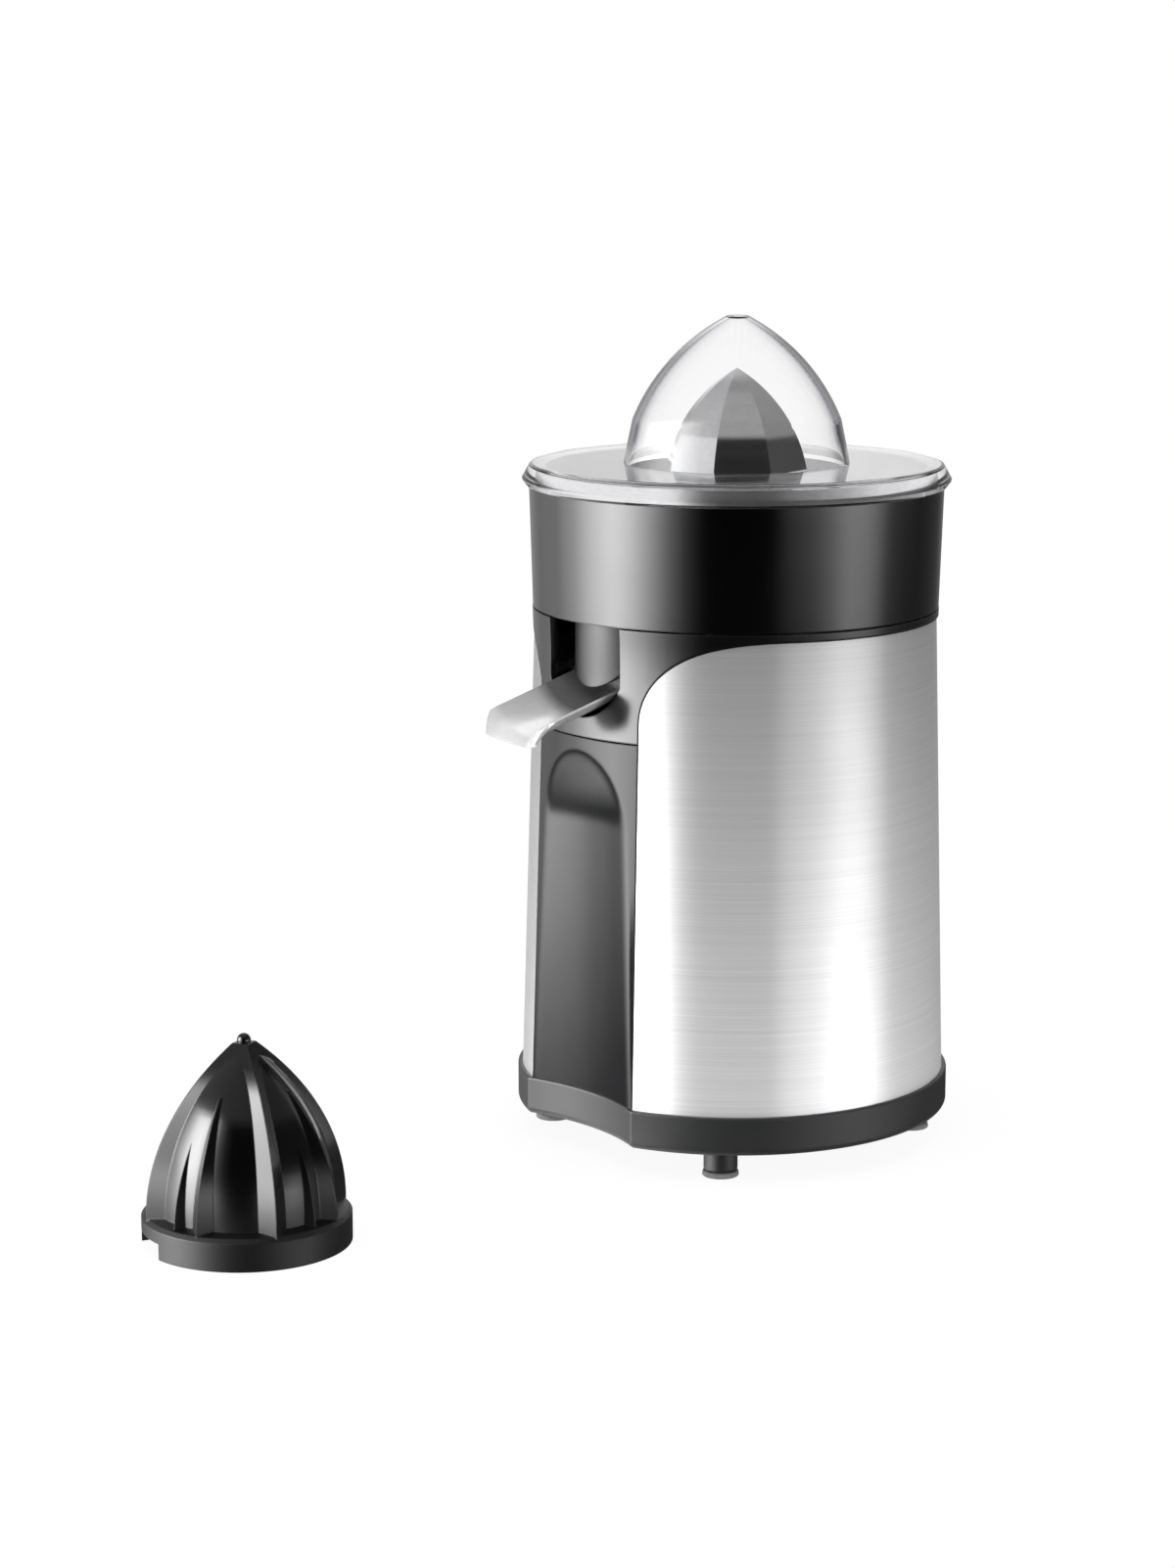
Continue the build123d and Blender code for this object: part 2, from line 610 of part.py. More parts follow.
# Cord gland: a flanged bush dropped into the slot of the base wall and held down by the shell
with BuildPart() as cord_gland:
    gland_wall_inside = BASE_RADIUS - BASE_WALL - GLAND_FLANGE_THICKNESS - SLIP_GAP
    gland_outside = BASE_RADIUS + GLAND_FLANGE_THICKNESS
    with BuildSketch(Plane.XZ.offset(-gland_wall_inside)):
        with Locations((0, gland_z)):
            Circle(GLAND_RADIUS)
        with Locations((0, base_top - gland_drop / 2)):
            Rectangle(2 * GLAND_RADIUS, gland_drop)
    extrude(amount=gland_wall_inside - gland_outside)
    with BuildSketch(Plane.XZ.offset(-gland_outside)):
        with Locations((0, gland_z)):
            Circle(GLAND_RADIUS + GLAND_FLANGE)
    extrude(amount=GLAND_FLANGE_THICKNESS)
    with BuildSketch(Plane.XZ.offset(-gland_wall_inside)):
        with Locations((0, gland_z)):
            Circle(GLAND_BORE)
    extrude(amount=-(gland_outside - gland_wall_inside) - CUT_OVERRUN, mode=Mode.SUBTRACT)
cord_gland.part.label = "cord_gland"
export_step(cord_gland.part, "parts/cord_gland.step")

# Steel shell: a thin tapering sheet, cut away in front along the arches
with BuildPart() as steel_shell:
    with BuildSketch(Plane.XZ):
        with BuildLine():
            Polyline(
                (housing_radius(base_top), base_top),
                (housing_radius(shell_top), shell_top - SEAM_GAP),
                (housing_radius(shell_top) - SHELL_SHEET, shell_top - SEAM_GAP),
                (housing_radius(base_top) - SHELL_SHEET, base_top),
                close=True,
            )
        make_face()
    revolve(axis=Axis.Z)
    with BuildSketch(Plane.XZ):
        add(front_opening(SEAM_GAP))
    extrude(amount=BASE_RADIUS, mode=Mode.SUBTRACT)
steel_shell.part.label = "steel_shell"
export_step(steel_shell.part, "parts/steel_shell.step")

# Front panel: one wall that follows the housing and dips into the glass recess, with a lap behind the steel
panel_top = seam_z - SEAM_GAP / 2
with BuildPart() as panel_cavity:
    add(housing_core(PANEL_WALL))
    add(glass_recess(PANEL_WALL), mode=Mode.SUBTRACT)

with BuildPart() as panel_lap:
    lap_low = front_half_width(base_top) + PANEL_LAP
    lap_high = front_half_width(panel_top) + PANEL_LAP
    with BuildSketch(Plane.XZ):
        with BuildLine():
            Polyline(
                (-lap_low, base_top),
                (lap_low, base_top),
                (lap_high, panel_top),
                (-lap_high, panel_top),
                close=True,
            )
        make_face()
    extrude(amount=BASE_RADIUS)
    add(housing_core(SHELL_SHEET + SEAT_GAP), mode=Mode.INTERSECT)

with BuildPart() as front_panel:
    with BuildSketch(Plane.XZ):
        with BuildLine():
            Polyline(
                (-front_half_width(base_top), base_top),
                (front_half_width(base_top), base_top),
                (front_half_width(panel_top), panel_top),
                (-front_half_width(panel_top), panel_top),
                close=True,
            )
        make_face()
    extrude(amount=BASE_RADIUS)
    add(housing_core(0), mode=Mode.INTERSECT)
    add(panel_lap.part)
    add(glass_recess(0), mode=Mode.SUBTRACT)
    add(panel_cavity.part, mode=Mode.SUBTRACT)
front_panel.part.label = "front_panel"
export_step(front_panel.part, "parts/front_panel.step")

# Collar: flared skin in front and a band all round, a sleeve behind the steel, the deck that carries the
# gears, and the pocket that the spout hangs in
skin_bottom = seam_z + SEAM_GAP / 2
flare_z = collar_top - COLLAR_FLARE_DROP
with BuildPart() as collar_reach:
    with BuildSketch(Plane.XZ):
        add(front_opening(0))
    extrude(amount=BASE_RADIUS)
    with BuildSketch(Plane.XY.offset(shell_top)):
        Circle(BASE_RADIUS)
    extrude(amount=TOP_BAND_HEIGHT)

with BuildPart() as spout_pocket:
    pocket_outer = pocket_half_width + POCKET_WALL
    with BuildSketch(Plane.XY.offset(pocket_floor - POCKET_WALL)):
        with Locations((0, -pocket_back + POCKET_WALL)):
            Rectangle(2 * pocket_outer, BASE_RADIUS, align=(Align.CENTER, Align.MAX))
    extrude(amount=deck_top - pocket_floor + POCKET_WALL)
    add(housing_core(COLLAR_WALL / 2), mode=Mode.INTERSECT)

with BuildPart() as pocket_space:
    with BuildSketch(Plane.XY.offset(pocket_floor)):
        with Locations((0, -pocket_back)):
            Rectangle(2 * pocket_half_width, BASE_RADIUS, align=(Align.CENTER, Align.MAX))
    extrude(amount=collar_top - pocket_floor)
    add(housing_core(COLLAR_WALL), mode=Mode.INTERSECT)

with BuildPart() as collar:
    with BuildSketch(Plane.XZ):
        with BuildLine():
            taper = Line((housing_radius(skin_bottom), skin_bottom), (housing_radius(flare_z), flare_z))
            flare = TangentArc(taper @ 1, (collar_top_radius, collar_top), tangent=taper % 1)
            Polyline(
                flare @ 1,
                (collar_top_radius - COLLAR_WALL, collar_top),
                (housing_radius(flare_z) - COLLAR_WALL, flare_z),
                (housing_radius(skin_bottom) - COLLAR_WALL, skin_bottom),
                taper @ 0,
            )
        make_face()
    revolve(axis=Axis.Z)
    add(collar_reach.part, mode=Mode.INTERSECT)
    sleeve_radius = housing_radius(shell_top) - SHELL_SHEET - SEAT_GAP
    with BuildSketch(Plane.XY.offset(shell_top - SLEEVE_HEIGHT)):
        Circle(sleeve_radius)
        Circle(sleeve_radius - SLEEVE_WALL, mode=Mode.SUBTRACT)
    extrude(amount=SLEEVE_HEIGHT + TOP_BAND_HEIGHT)
    with BuildSketch(Plane.XY.offset(deck_underside)):
        Circle(sleeve_radius)
    extrude(amount=DECK_THICKNESS)
    add(spout_pocket.part)
    with BuildSketch(Plane.XY.offset(boss_bottom)):
        Circle(DECK_BOSS_RADIUS)
        with Locations(idler_centre):
            Circle(AXLE_BOSS_RADIUS)
    extrude(amount=deck_top - boss_bottom)
    with BuildSketch(Plane.XY.offset(deck_top)):
        Circle(DECK_BOSS_RADIUS)
    extrude(amount=DECK_BOSS_RISE)
    with BuildSketch(Plane.XY.offset(plate_top)):
        with PolarLocations(post_circle, POST_COUNT, start_angle=POST_START_ANGLE):
            Circle(POST_RADIUS)
    extrude(amount=deck_underside - plate_top)
    with BuildSketch(Plane.XY.offset(deck_underside - TIE_BOSS_DEPTH)):
        with GridLocations(2 * tie_reach_x, 2 * tie_reach_y, 2, 2):
            Circle(TIE_BOSS_RADIUS)
    extrude(amount=TIE_BOSS_DEPTH)
    add(pocket_space.part, mode=Mode.SUBTRACT)
    with BuildSketch(Plane.XZ.offset(pocket_back)):
        with BuildLine():
            Polyline(
                (-slot_half_width, slot_spring),
                (-slot_half_width, collar_top + CUT_OVERRUN),
                (slot_half_width, collar_top + CUT_OVERRUN),
                (slot_half_width, slot_spring),
            )
            ThreePointArc(
                (slot_half_width, slot_spring), (0, slot_bottom), (-slot_half_width, slot_spring)
            )
        make_face()
    extrude(amount=BASE_RADIUS - pocket_back, mode=Mode.SUBTRACT)
    with BuildSketch(Plane.XY.offset(boss_bottom)):
        Circle(BUSH_RADIUS + SEAT_GAP)
    extrude(amount=boss_top - boss_bottom, mode=Mode.SUBTRACT)
    with BuildSketch(Plane.XY.offset(boss_bottom)):
        with Locations(idler_centre):
            Circle(AXLE_RADIUS + SEAT_GAP)
    extrude(amount=AXLE_BITE, mode=Mode.SUBTRACT)
    with BuildSketch(Plane.XY.offset(plate_top)):
        with PolarLocations(post_circle, POST_COUNT, start_angle=POST_START_ANGLE):
            Circle(SCREW_RADIUS + SEAT_GAP)
    extrude(amount=SCREW_DEPTH, mode=Mode.SUBTRACT)
    with BuildSketch(Plane.XY.offset(deck_underside - TIE_BOSS_DEPTH)):
        with GridLocations(2 * tie_reach_x, 2 * tie_reach_y, 2, 2):
            Circle(TIE_RADIUS + SEAT_GAP)
    extrude(amount=TIE_BOSS_DEPTH, mode=Mode.SUBTRACT)
    with BuildSketch(Plane.YZ.offset(-pocket_outer - CUT_OVERRUN)):
        with Locations((-spout_pin_reach, spout_pin_z)):
            Circle(SPOUT_PIN_RADIUS + RUNNING_GAP)
    extrude(amount=2 * (pocket_outer + CUT_OVERRUN), mode=Mode.SUBTRACT)
collar.part.label = "collar"
export_step(collar.part, "parts/collar.step")

# Tie bolts: four long bolts from under the base into the collar's bosses
with BuildPart() as tie_bolts:
    head_bottom = base_bottom + SLIP_GAP
    with BuildSketch(Plane.XY.offset(head_bottom)):
        with GridLocations(2 * tie_reach_x, 2 * tie_reach_y, 2, 2):
            RegularPolygon(TIE_HEAD_RADIUS, 6)
    extrude(amount=TIE_HEAD_HEIGHT)
    with BuildSketch(Plane.XY.offset(head_bottom)):
        with GridLocations(2 * tie_reach_x, 2 * tie_reach_y, 2, 2):
            Circle(TIE_RADIUS)
    extrude(amount=deck_underside - head_bottom - SLIP_GAP)
tie_bolts.part.label = "tie_bolts"
export_step(tie_bolts.part, "parts/tie_bolts.step")

# Spout: gutter on a sloping path that rolls over at its rounded lip, closed behind, with two pivot pins
slope = math.radians(SPOUT_SLOPE)
spout_start = (0, -spout_rear, spout_rear_z)
downhill = (0, -math.cos(slope), -math.sin(slope))
gutter_plane = Plane(origin=spout_start, x_dir=(1, 0, 0), z_dir=downhill)
pin_plane = Plane.YZ.offset(-pocket_half_width - POCKET_WALL + SLIP_GAP)
lip_slope = slope + math.radians(SPOUT_LIP_TURN)
lip_start = spout_rear + SPOUT_STRAIGHT * math.cos(slope)
lip_end = lip_start + SPOUT_LIP_RADIUS * (math.sin(lip_slope) - math.sin(slope))
spout_tip = lip_end + SPOUT_DEPTH * math.sin(lip_slope)
with BuildPart() as spout_tongue:
    with BuildSketch(Plane.XY.offset(pocket_floor - spout_tip)):
        with Locations((0, -spout_tip)):
            Rectangle(2 * (SPOUT_HALF_WIDTH + SPOUT_SHEET), spout_tip, align=(Align.CENTER, Align.MIN))
    extrude(amount=2 * spout_tip)
    fillet(spout_tongue.edges().filter_by(Axis.Z).sort_by(Axis.Y)[:2], radius=SPOUT_LIP_CORNER)

with BuildPart() as spout:
    with BuildLine(Plane(origin=spout_start, x_dir=downhill, z_dir=(1, 0, 0))) as gutter_path:
        run = Line((0, 0), (SPOUT_STRAIGHT, 0))
        JernArc(run @ 1, run % 1, SPOUT_LIP_RADIUS, SPOUT_LIP_TURN)
    with BuildSketch(gutter_plane):
        with BuildLine():
            ThreePointArc((-SPOUT_HALF_WIDTH, SPOUT_DEPTH), (0, 0), (SPOUT_HALF_WIDTH, SPOUT_DEPTH))
            offset(amount=SPOUT_SHEET, side=Side.RIGHT)
        make_face()
    sweep(path=gutter_path.line)
    add(spout_tongue.part, mode=Mode.INTERSECT)
    with BuildSketch(gutter_plane):
        with BuildLine():
            ThreePointArc((-SPOUT_HALF_WIDTH, SPOUT_DEPTH), (0, 0), (SPOUT_HALF_WIDTH, SPOUT_DEPTH))
            Line((SPOUT_HALF_WIDTH, SPOUT_DEPTH), (-SPOUT_HALF_WIDTH, SPOUT_DEPTH))
        make_face()
    extrude(amount=SPOUT_SHEET)
    pin_length = pocket_half_width + POCKET_WALL - SLIP_GAP - SPOUT_HALF_WIDTH + SPOUT_PIN_BITE
    with BuildSketch(pin_plane):
        with Locations((-spout_pin_reach, spout_pin_z)):
            Circle(SPOUT_PIN_RADIUS)
    extrude(amount=pin_length)
    mirror(about=Plane.YZ)
spout.part.label = "spout"
export_step(spout.part, "parts/spout.step")

# Juice bowl: tapering wall with a stepped rim, sloping floor, shaft tube and the outlet chute in front
bowl_tube_radius = bowl_tube_bore + BOWL_TUBE_WALL
bowl_inner_low = bowl_low_radius - BOWL_WALL
with BuildPart() as bowl:
    with BuildSketch(Plane.XZ):
        with BuildLine():
            Polyline(
                (bowl_low_radius, bowl_bottom),
                (bowl_high_radius, bowl_side_top),
                (bowl_rim_radius, bowl_side_top),
                (bowl_rim_radius, bowl_rim_top),
                (bowl_rim_radius - BOWL_RIM_WALL, bowl_rim_top),
                (bowl_rim_radius - BOWL_RIM_WALL, bowl_side_top - BOWL_WALL),
                (bowl_high_radius - BOWL_WALL, bowl_side_top - 2 * BOWL_WALL),
                (bowl_inner_low, bowl_floor_z + BOWL_FLOOR),
                (bowl_tube_radius, bowl_floor_z + BOWL_FLOOR + BOWL_FLOOR_FALL),
                (bowl_tube_radius, bowl_tube_top),
                (bowl_tube_bore, bowl_tube_top),
                (bowl_tube_bore, boss_top),
                (DECK_BOSS_RADIUS, boss_top),
                (DECK_BOSS_RADIUS, bowl_floor_z + BOWL_FLOOR_FALL),
                (bowl_inner_low, bowl_floor_z),
                (bowl_inner_low, bowl_bottom),
                close=True,
            )
        make_face()
    revolve(axis=Axis.Z)
    with BuildSketch(Plane.XY.offset(chute_bottom)) as chute_outline:
        with BuildLine():
            Polyline(
                (chute_half_width, -chute_front + CHUTE_BULGE),
                (chute_half_width, -chute_back),
                (-chute_half_width, -chute_back),
                (-chute_half_width, -chute_front + CHUTE_BULGE),
            )
            ThreePointArc(
                (-chute_half_width, -chute_front + CHUTE_BULGE),
                (0, -chute_front),
                (chute_half_width, -chute_front + CHUTE_BULGE),
            )
        make_face()
    extrude(amount=bowl_floor_z + BOWL_FLOOR - chute_bottom)
    with BuildSketch(Plane.XY.offset(chute_bottom)):
        add(chute_outline.sketch_local)
        offset(amount=-CHUTE_WALL)
    extrude(amount=bowl_floor_z + BOWL_FLOOR + BOWL_FLOOR_FALL - chute_bottom, mode=Mode.SUBTRACT)
    chute_spring = chute_bottom + CHUTE_ROUNDING
    with BuildSketch(Plane.XZ.offset(chute_back - CUT_OVERRUN)):
        with BuildLine():
            ThreePointArc(
                (-chute_half_width, chute_spring), (0, chute_bottom), (chute_half_width, chute_spring)
            )
            Polyline(
                (chute_half_width, chute_spring),
                (chute_half_width + CUT_OVERRUN, chute_spring),
                (chute_half_width + CUT_OVERRUN, chute_bottom - CUT_OVERRUN),
                (-chute_half_width - CUT_OVERRUN, chute_bottom - CUT_OVERRUN),
                (-chute_half_width - CUT_OVERRUN, chute_spring),
                (-chute_half_width, chute_spring),
            )
        make_face()
    extrude(amount=BASE_RADIUS - chute_back + CUT_OVERRUN, mode=Mode.SUBTRACT)
bowl.part.label = "bowl"
export_step(bowl.part, "parts/bowl.step")

# Strainer: a pressed steel ring that hangs on the bowl's rim, a slotted floor that lies on a narrow seat
# at its foot, and a hub for the cone that carries the floor's inner edge
sieve_underside = strainer_floor - STRAINER_SHEET
with BuildPart() as strainer:
    with BuildSketch(Plane.XZ):
        with BuildLine():
            Polyline(
                (strainer_skirt_radius, bowl_side_top + STRAINER_SKIRT_GAP),
                (strainer_rim_radius, strainer_top),
                (strainer_mouth_radius, strainer_top),
                (strainer_floor_radius, sieve_underside),
                (strainer_floor_radius - SIEVE_SEAT, sieve_underside),
            )
            offset(amount=STRAINER_SHEET, kind=Kind.INTERSECTION, side=Side.LEFT)
        make_face()
    revolve(axis=Axis.Z)
strainer.part.label = "strainer"
export_step(strainer.part, "parts/strainer.step")

with BuildPart() as sieve:
    with BuildSketch(Plane.XY.offset(sieve_underside)):
        Circle(strainer_floor_radius)
        Circle(STRAINER_HUB_LOW_RADIUS, mode=Mode.SUBTRACT)
        with PolarLocations((strainer_floor_radius + STRAINER_HUB_LOW_RADIUS) / 2, SIEVE_SLOT_COUNT):
            SlotOverall(sieve_slot_length, SIEVE_SLOT_WIDTH, mode=Mode.SUBTRACT)
    extrude(amount=STRAINER_SHEET)
sieve.part.label = "sieve"
export_step(sieve.part, "parts/sieve.step")

with BuildPart() as strainer_hub:
    with BuildSketch(Plane.XZ):
        with BuildLine():
            Polyline(
                (STRAINER_HUB_LOW_RADIUS + SIEVE_SEAT, sieve_underside),
                (STRAINER_HUB_LOW_RADIUS, sieve_underside),
                (strainer_hub_high_radius, strainer_hub_top),
                (strainer_hub_bore, strainer_hub_top),
            )
            offset(amount=STRAINER_SHEET, kind=Kind.INTERSECTION, side=Side.LEFT)
        make_face()
    revolve(axis=Axis.Z)
strainer_hub.part.label = "strainer_hub"
export_step(strainer_hub.part, "parts/strainer_hub.step")

# Lid: clear disc with a flared skirt, a seat on the strainer's rim and the dome over the cone
with BuildPart() as lid:
    with BuildSketch(Plane.XZ):
        with BuildLine():
            Polyline(
                (lid_skirt_radius, lid_top - LID_SKIRT_HEIGHT),
                (lid_radius, lid_top),
                (DOME_FOOT_RADIUS, lid_top),
                (dome_shoulder_radius, dome_shoulder),
            )
            ThreePointArc(
                (dome_shoulder_radius, dome_shoulder),
                (dome_flank_radius, dome_flank),
                (DOME_TOP_RADIUS, lid_top + DOME_HEIGHT),
            )
            Line((DOME_TOP_RADIUS, lid_top + DOME_HEIGHT), (0, lid_top + DOME_HEIGHT))
            offset(amount=LID_WALL, kind=Kind.INTERSECTION, side=Side.LEFT)
        make_face()
        with BuildLine():
            Polyline(
                (lid_skirt_radius, lid_top - LID_SKIRT_HEIGHT),
                (lid_radius, lid_top),
                (lid_radius - LID_CORNER_WALL, lid_underside),
                (lid_edge_radius, lid_top - LID_EDGE_HEIGHT),
                close=True,
            )
        make_face()
        with Locations((lid_seat_radius, lid_underside)):
            Rectangle(LID_SEAT_WALL, 2 * LID_SEAT_HEIGHT)
    revolve(axis=Axis.Z)
lid.part.label = "lid"
export_step(lid.part, "parts/lid.step")


def pointed_vault(facet_reach, flank_reach, flank_height, height, bottom):
    """Pointed cone whose flat-sided cross-section has CONE_FACETS sides, standing on bottom."""
    with BuildPart() as vault:
        for pair in range(CONE_FACETS // 2):
            with BuildSketch(upright_plane(CONE_TURN + 360 / CONE_FACETS * pair)):
                with BuildLine():
                    Polyline((0, bottom + height), (0, bottom), (facet_reach, bottom))
                    ThreePointArc(
                        (facet_reach, bottom), (flank_reach, bottom + flank_height), (0, bottom + height)
                    )
                make_face()
                mirror(about=Plane.YZ)
            extrude(amount=2 * facet_reach, both=True, mode=Mode.INTERSECT if pair else Mode.ADD)
    return vault.part


# Small cone: polished steel, hollow under its facets
with BuildPart() as small_cone:
    add(pointed_vault(CONE_FACET_REACH, cone_flank_reach, cone_flank_height, CONE_HEIGHT, cone_base))
    with BuildSketch(Plane.XY.offset(cone_bottom)):
        Circle(cone_flange_radius)
    extrude(amount=CONE_FLANGE_HEIGHT)
    add(
        pointed_vault(
            CONE_FACET_REACH - CONE_WALL,
            cone_flank_reach - CONE_WALL,
            cone_flank_height,
            CONE_HEIGHT - 2 * CONE_WALL,
            cone_base,
        ),
        mode=Mode.SUBTRACT,
    )
    with BuildSketch(Plane.XY.offset(cone_bottom)):
        Circle(CONE_FACET_REACH - CONE_WALL)
    extrude(amount=CONE_FLANGE_HEIGHT, mode=Mode.SUBTRACT)
small_cone.part.label = "small_cone"
export_step(small_cone.part, "parts/small_cone.step")

# Cone hub: closes the cone from below and takes the shaft's hexagon
sleeve_bottom = cone_base - HUB_SLEEVE_DROP
sleeve_top = cone_base + HUB_SLEEVE_RISE
hex_bottom = sleeve_top - HEX_CAP - HEX_HEIGHT
with BuildPart() as cone_hub:
    with BuildSketch(Plane.XY.offset(cone_bottom)):
        Circle(CONE_FACET_REACH - CONE_WALL - SLIP_GAP - CONE_WALL)
    extrude(amount=HUB_DISC_HEIGHT)
    with BuildSketch(Plane.XY.offset(cone_bottom)):
        for turn in (0, 90):
            Rectangle(2 * hub_rib_reach, HUB_RIB_THICKNESS, rotation=turn)
    extrude(amount=HUB_DISC_HEIGHT + HUB_RIB_HEIGHT)
    with BuildSketch(Plane.XY.offset(sleeve_bottom)):
        Circle(HUB_SLEEVE_RADIUS)
    extrude(amount=sleeve_top - sleeve_bottom)
    with BuildSketch(Plane.XY.offset(sleeve_bottom)):
        Circle(SHAFT_RADIUS + SLIP_GAP)
    extrude(amount=hex_bottom - sleeve_bottom, mode=Mode.SUBTRACT)
    with BuildSketch(Plane.XY.offset(hex_bottom)):
        RegularPolygon(SHAFT_RADIUS + SLIP_GAP, 6)
    extrude(amount=HEX_HEIGHT, mode=Mode.SUBTRACT)
cone_hub.part.label = "cone_hub"
export_step(cone_hub.part, "parts/cone_hub.step")


def crest_point(reach_share, rise_share):
    """Point of a ridge's crest as (reach, height), from its shares of the large cone's radius and height."""
    return (reach_share * BIG_RING_RADIUS, rise_share * BIG_CONE_HEIGHT)


def rib_pair(angle, half_angle, reach, flank, top):
    """Two opposite ridges over the large cone; flank and top are (reach, height) points of the crest."""
    share = math.sin(math.radians(half_angle))
    foot = (reach * share, 0)
    ledge = (reach * share, BIG_RING_HEIGHT)
    with BuildPart() as ribs:
        for side in (-1, 1):
            with BuildSketch(upright_plane(angle + side * (90 - half_angle), (0, -BIG_CONE_STAND, 0))):
                with BuildLine():
                    Polyline((0, top[1]), (0, 0), foot, ledge)
                    ThreePointArc(ledge, (flank[0] * share, flank[1]), (top[0] * share, top[1]))
                    Line((top[0] * share, top[1]), (0, top[1]))
                make_face()
                mirror(about=Plane.YZ)
            extrude(amount=2 * reach, both=True, mode=Mode.INTERSECT if side > 0 else Mode.ADD)
    return ribs.part


# Large cone: a hollow fluted core on a ring, with four long ridges, four short ones between them and four
# fine ones in the flutes
big_cone_plane = Plane((0, -BIG_CONE_STAND, 0))
big_cone_axis = Axis((0, -BIG_CONE_STAND, 0), (0, 0, 1))
big_core_cavity = big_core_radius - BIG_CORE_WALL
cavity_top = BIG_CONE_HEIGHT - 2 * BIG_CORE_WALL
neck_top = BIG_CONE_HEIGHT + BIG_NECK_HEIGHT
knob_start = math.degrees(math.acos(BIG_NECK_RADIUS / BIG_KNOB_RADIUS))
knob_centre = neck_top + BIG_KNOB_RADIUS * math.sin(math.radians(knob_start))
main_flank = crest_point(BIG_RIB_FLANK_REACH_SHARE, BIG_RIB_FLANK_RISE_SHARE)
main_top = (BIG_RIB_TOP_REACH, BIG_CONE_HEIGHT + BIG_RIB_TOP_RISE)
side_flank = crest_point(BIG_SIDE_RIB_FLANK_REACH_SHARE, BIG_SIDE_RIB_FLANK_RISE_SHARE)
side_top = crest_point(BIG_SIDE_RIB_TOP_REACH_SHARE, BIG_SIDE_RIB_TOP_RISE_SHARE)
fine_flank = crest_point(BIG_FINE_RIB_FLANK_REACH_SHARE, BIG_FINE_RIB_FLANK_RISE_SHARE)
fine_top = crest_point(BIG_FINE_RIB_TOP_REACH_SHARE, BIG_FINE_RIB_TOP_RISE_SHARE)
with BuildPart() as large_cone:
    with BuildSketch(upright_plane(0, (0, -BIG_CONE_STAND, 0))):
        with BuildLine():
            Polyline(
                (0, 0),
                (BIG_RING_RADIUS, 0),
                (BIG_RING_RADIUS, BIG_RING_HEIGHT),
                (BIG_RING_RADIUS - BIG_LEDGE_CHAMFER, BIG_RING_HEIGHT + BIG_LEDGE_CHAMFER),
                (big_core_radius, big_ledge_height),
            )
            ThreePointArc(
                (big_core_radius, big_ledge_height),
                (big_core_flank_radius, big_core_flank_height),
                (BIG_CORE_TOP_RADIUS, BIG_CONE_HEIGHT),
            )
            Polyline(
                (BIG_CORE_TOP_RADIUS, BIG_CONE_HEIGHT),
                (BIG_NECK_RADIUS, BIG_CONE_HEIGHT),
                (BIG_NECK_RADIUS, neck_top),
            )
            CenterArc((0, knob_centre), BIG_KNOB_RADIUS, -knob_start, 90 + knob_start)
            Line((0, knob_centre + BIG_KNOB_RADIUS), (0, 0))
        make_face()
    revolve(axis=big_cone_axis)
    for turn in (BIG_CONE_TURN, BIG_CONE_TURN + 90):
        add(rib_pair(turn, BIG_RIB_HALF_ANGLE, BIG_RING_RADIUS - BIG_RIB_INSET, main_flank, main_top))
        add(
            rib_pair(
                turn + BIG_SIDE_RIB_TURN,
                BIG_SIDE_RIB_HALF_ANGLE,
                BIG_RING_RADIUS - BIG_SIDE_RIB_INSET,
                side_flank,
                side_top,
            )
        )
        add(
            rib_pair(
                turn + BIG_FINE_RIB_TURN,
                BIG_FINE_RIB_HALF_ANGLE,
                BIG_RING_RADIUS - BIG_FINE_RIB_INSET,
                fine_flank,
                fine_top,
            )
        )
    with BuildSketch(upright_plane(0, (0, -BIG_CONE_STAND, 0))):
        with BuildLine():
            Polyline(
                (0, cavity_top),
                (0, 0),
                (BIG_RING_RADIUS - BIG_RING_WALL, 0),
                (BIG_RING_RADIUS - BIG_RING_WALL, BIG_RING_HEIGHT - BIG_RING_WALL),
                (big_core_cavity, big_ledge_height),
            )
            ThreePointArc(
                (big_core_cavity, big_ledge_height),
                (big_core_flank_radius - BIG_CORE_WALL, big_core_flank_height),
                (BIG_CORE_TOP_RADIUS - BIG_CORE_WALL, cavity_top),
            )
            Line((BIG_CORE_TOP_RADIUS - BIG_CORE_WALL, cavity_top), (0, cavity_top))
        make_face()
    revolve(axis=big_cone_axis, mode=Mode.SUBTRACT)
    with BuildSketch(big_cone_plane):
        Rectangle(BIG_NOTCH_WIDTH, 2 * BIG_RING_RADIUS + CUT_OVERRUN, rotation=BIG_CONE_TURN)
        Circle(BIG_RING_RADIUS - BIG_RING_WALL - SLIP_GAP, mode=Mode.SUBTRACT)
    extrude(amount=BIG_NOTCH_HEIGHT, mode=Mode.SUBTRACT)
large_cone.part.label = "large_cone"
export_step(large_cone.part, "parts/large_cone.step")

# Drive shaft: round shaft with a journal below and a hexagon for the cone on top
shaft_top = sleeve_top - HEX_CAP - SLIP_GAP
with BuildPart() as drive_shaft:
    with BuildSketch(Plane.XY.offset(output_gear_bottom)):
        Circle(SHAFT_RADIUS)
    extrude(amount=hex_bottom - output_gear_bottom)
    with BuildSketch(Plane.XY.offset(hex_bottom)):
        RegularPolygon(SHAFT_RADIUS, 6)
    extrude(amount=shaft_top - hex_bottom)
    with BuildSketch(Plane.XY.offset(output_gear_bottom)):
        Circle(JOURNAL_RADIUS)
    extrude(amount=-JOURNAL_LENGTH)
drive_shaft.part.label = "drive_shaft"
export_step(drive_shaft.part, "parts/drive_shaft.step")

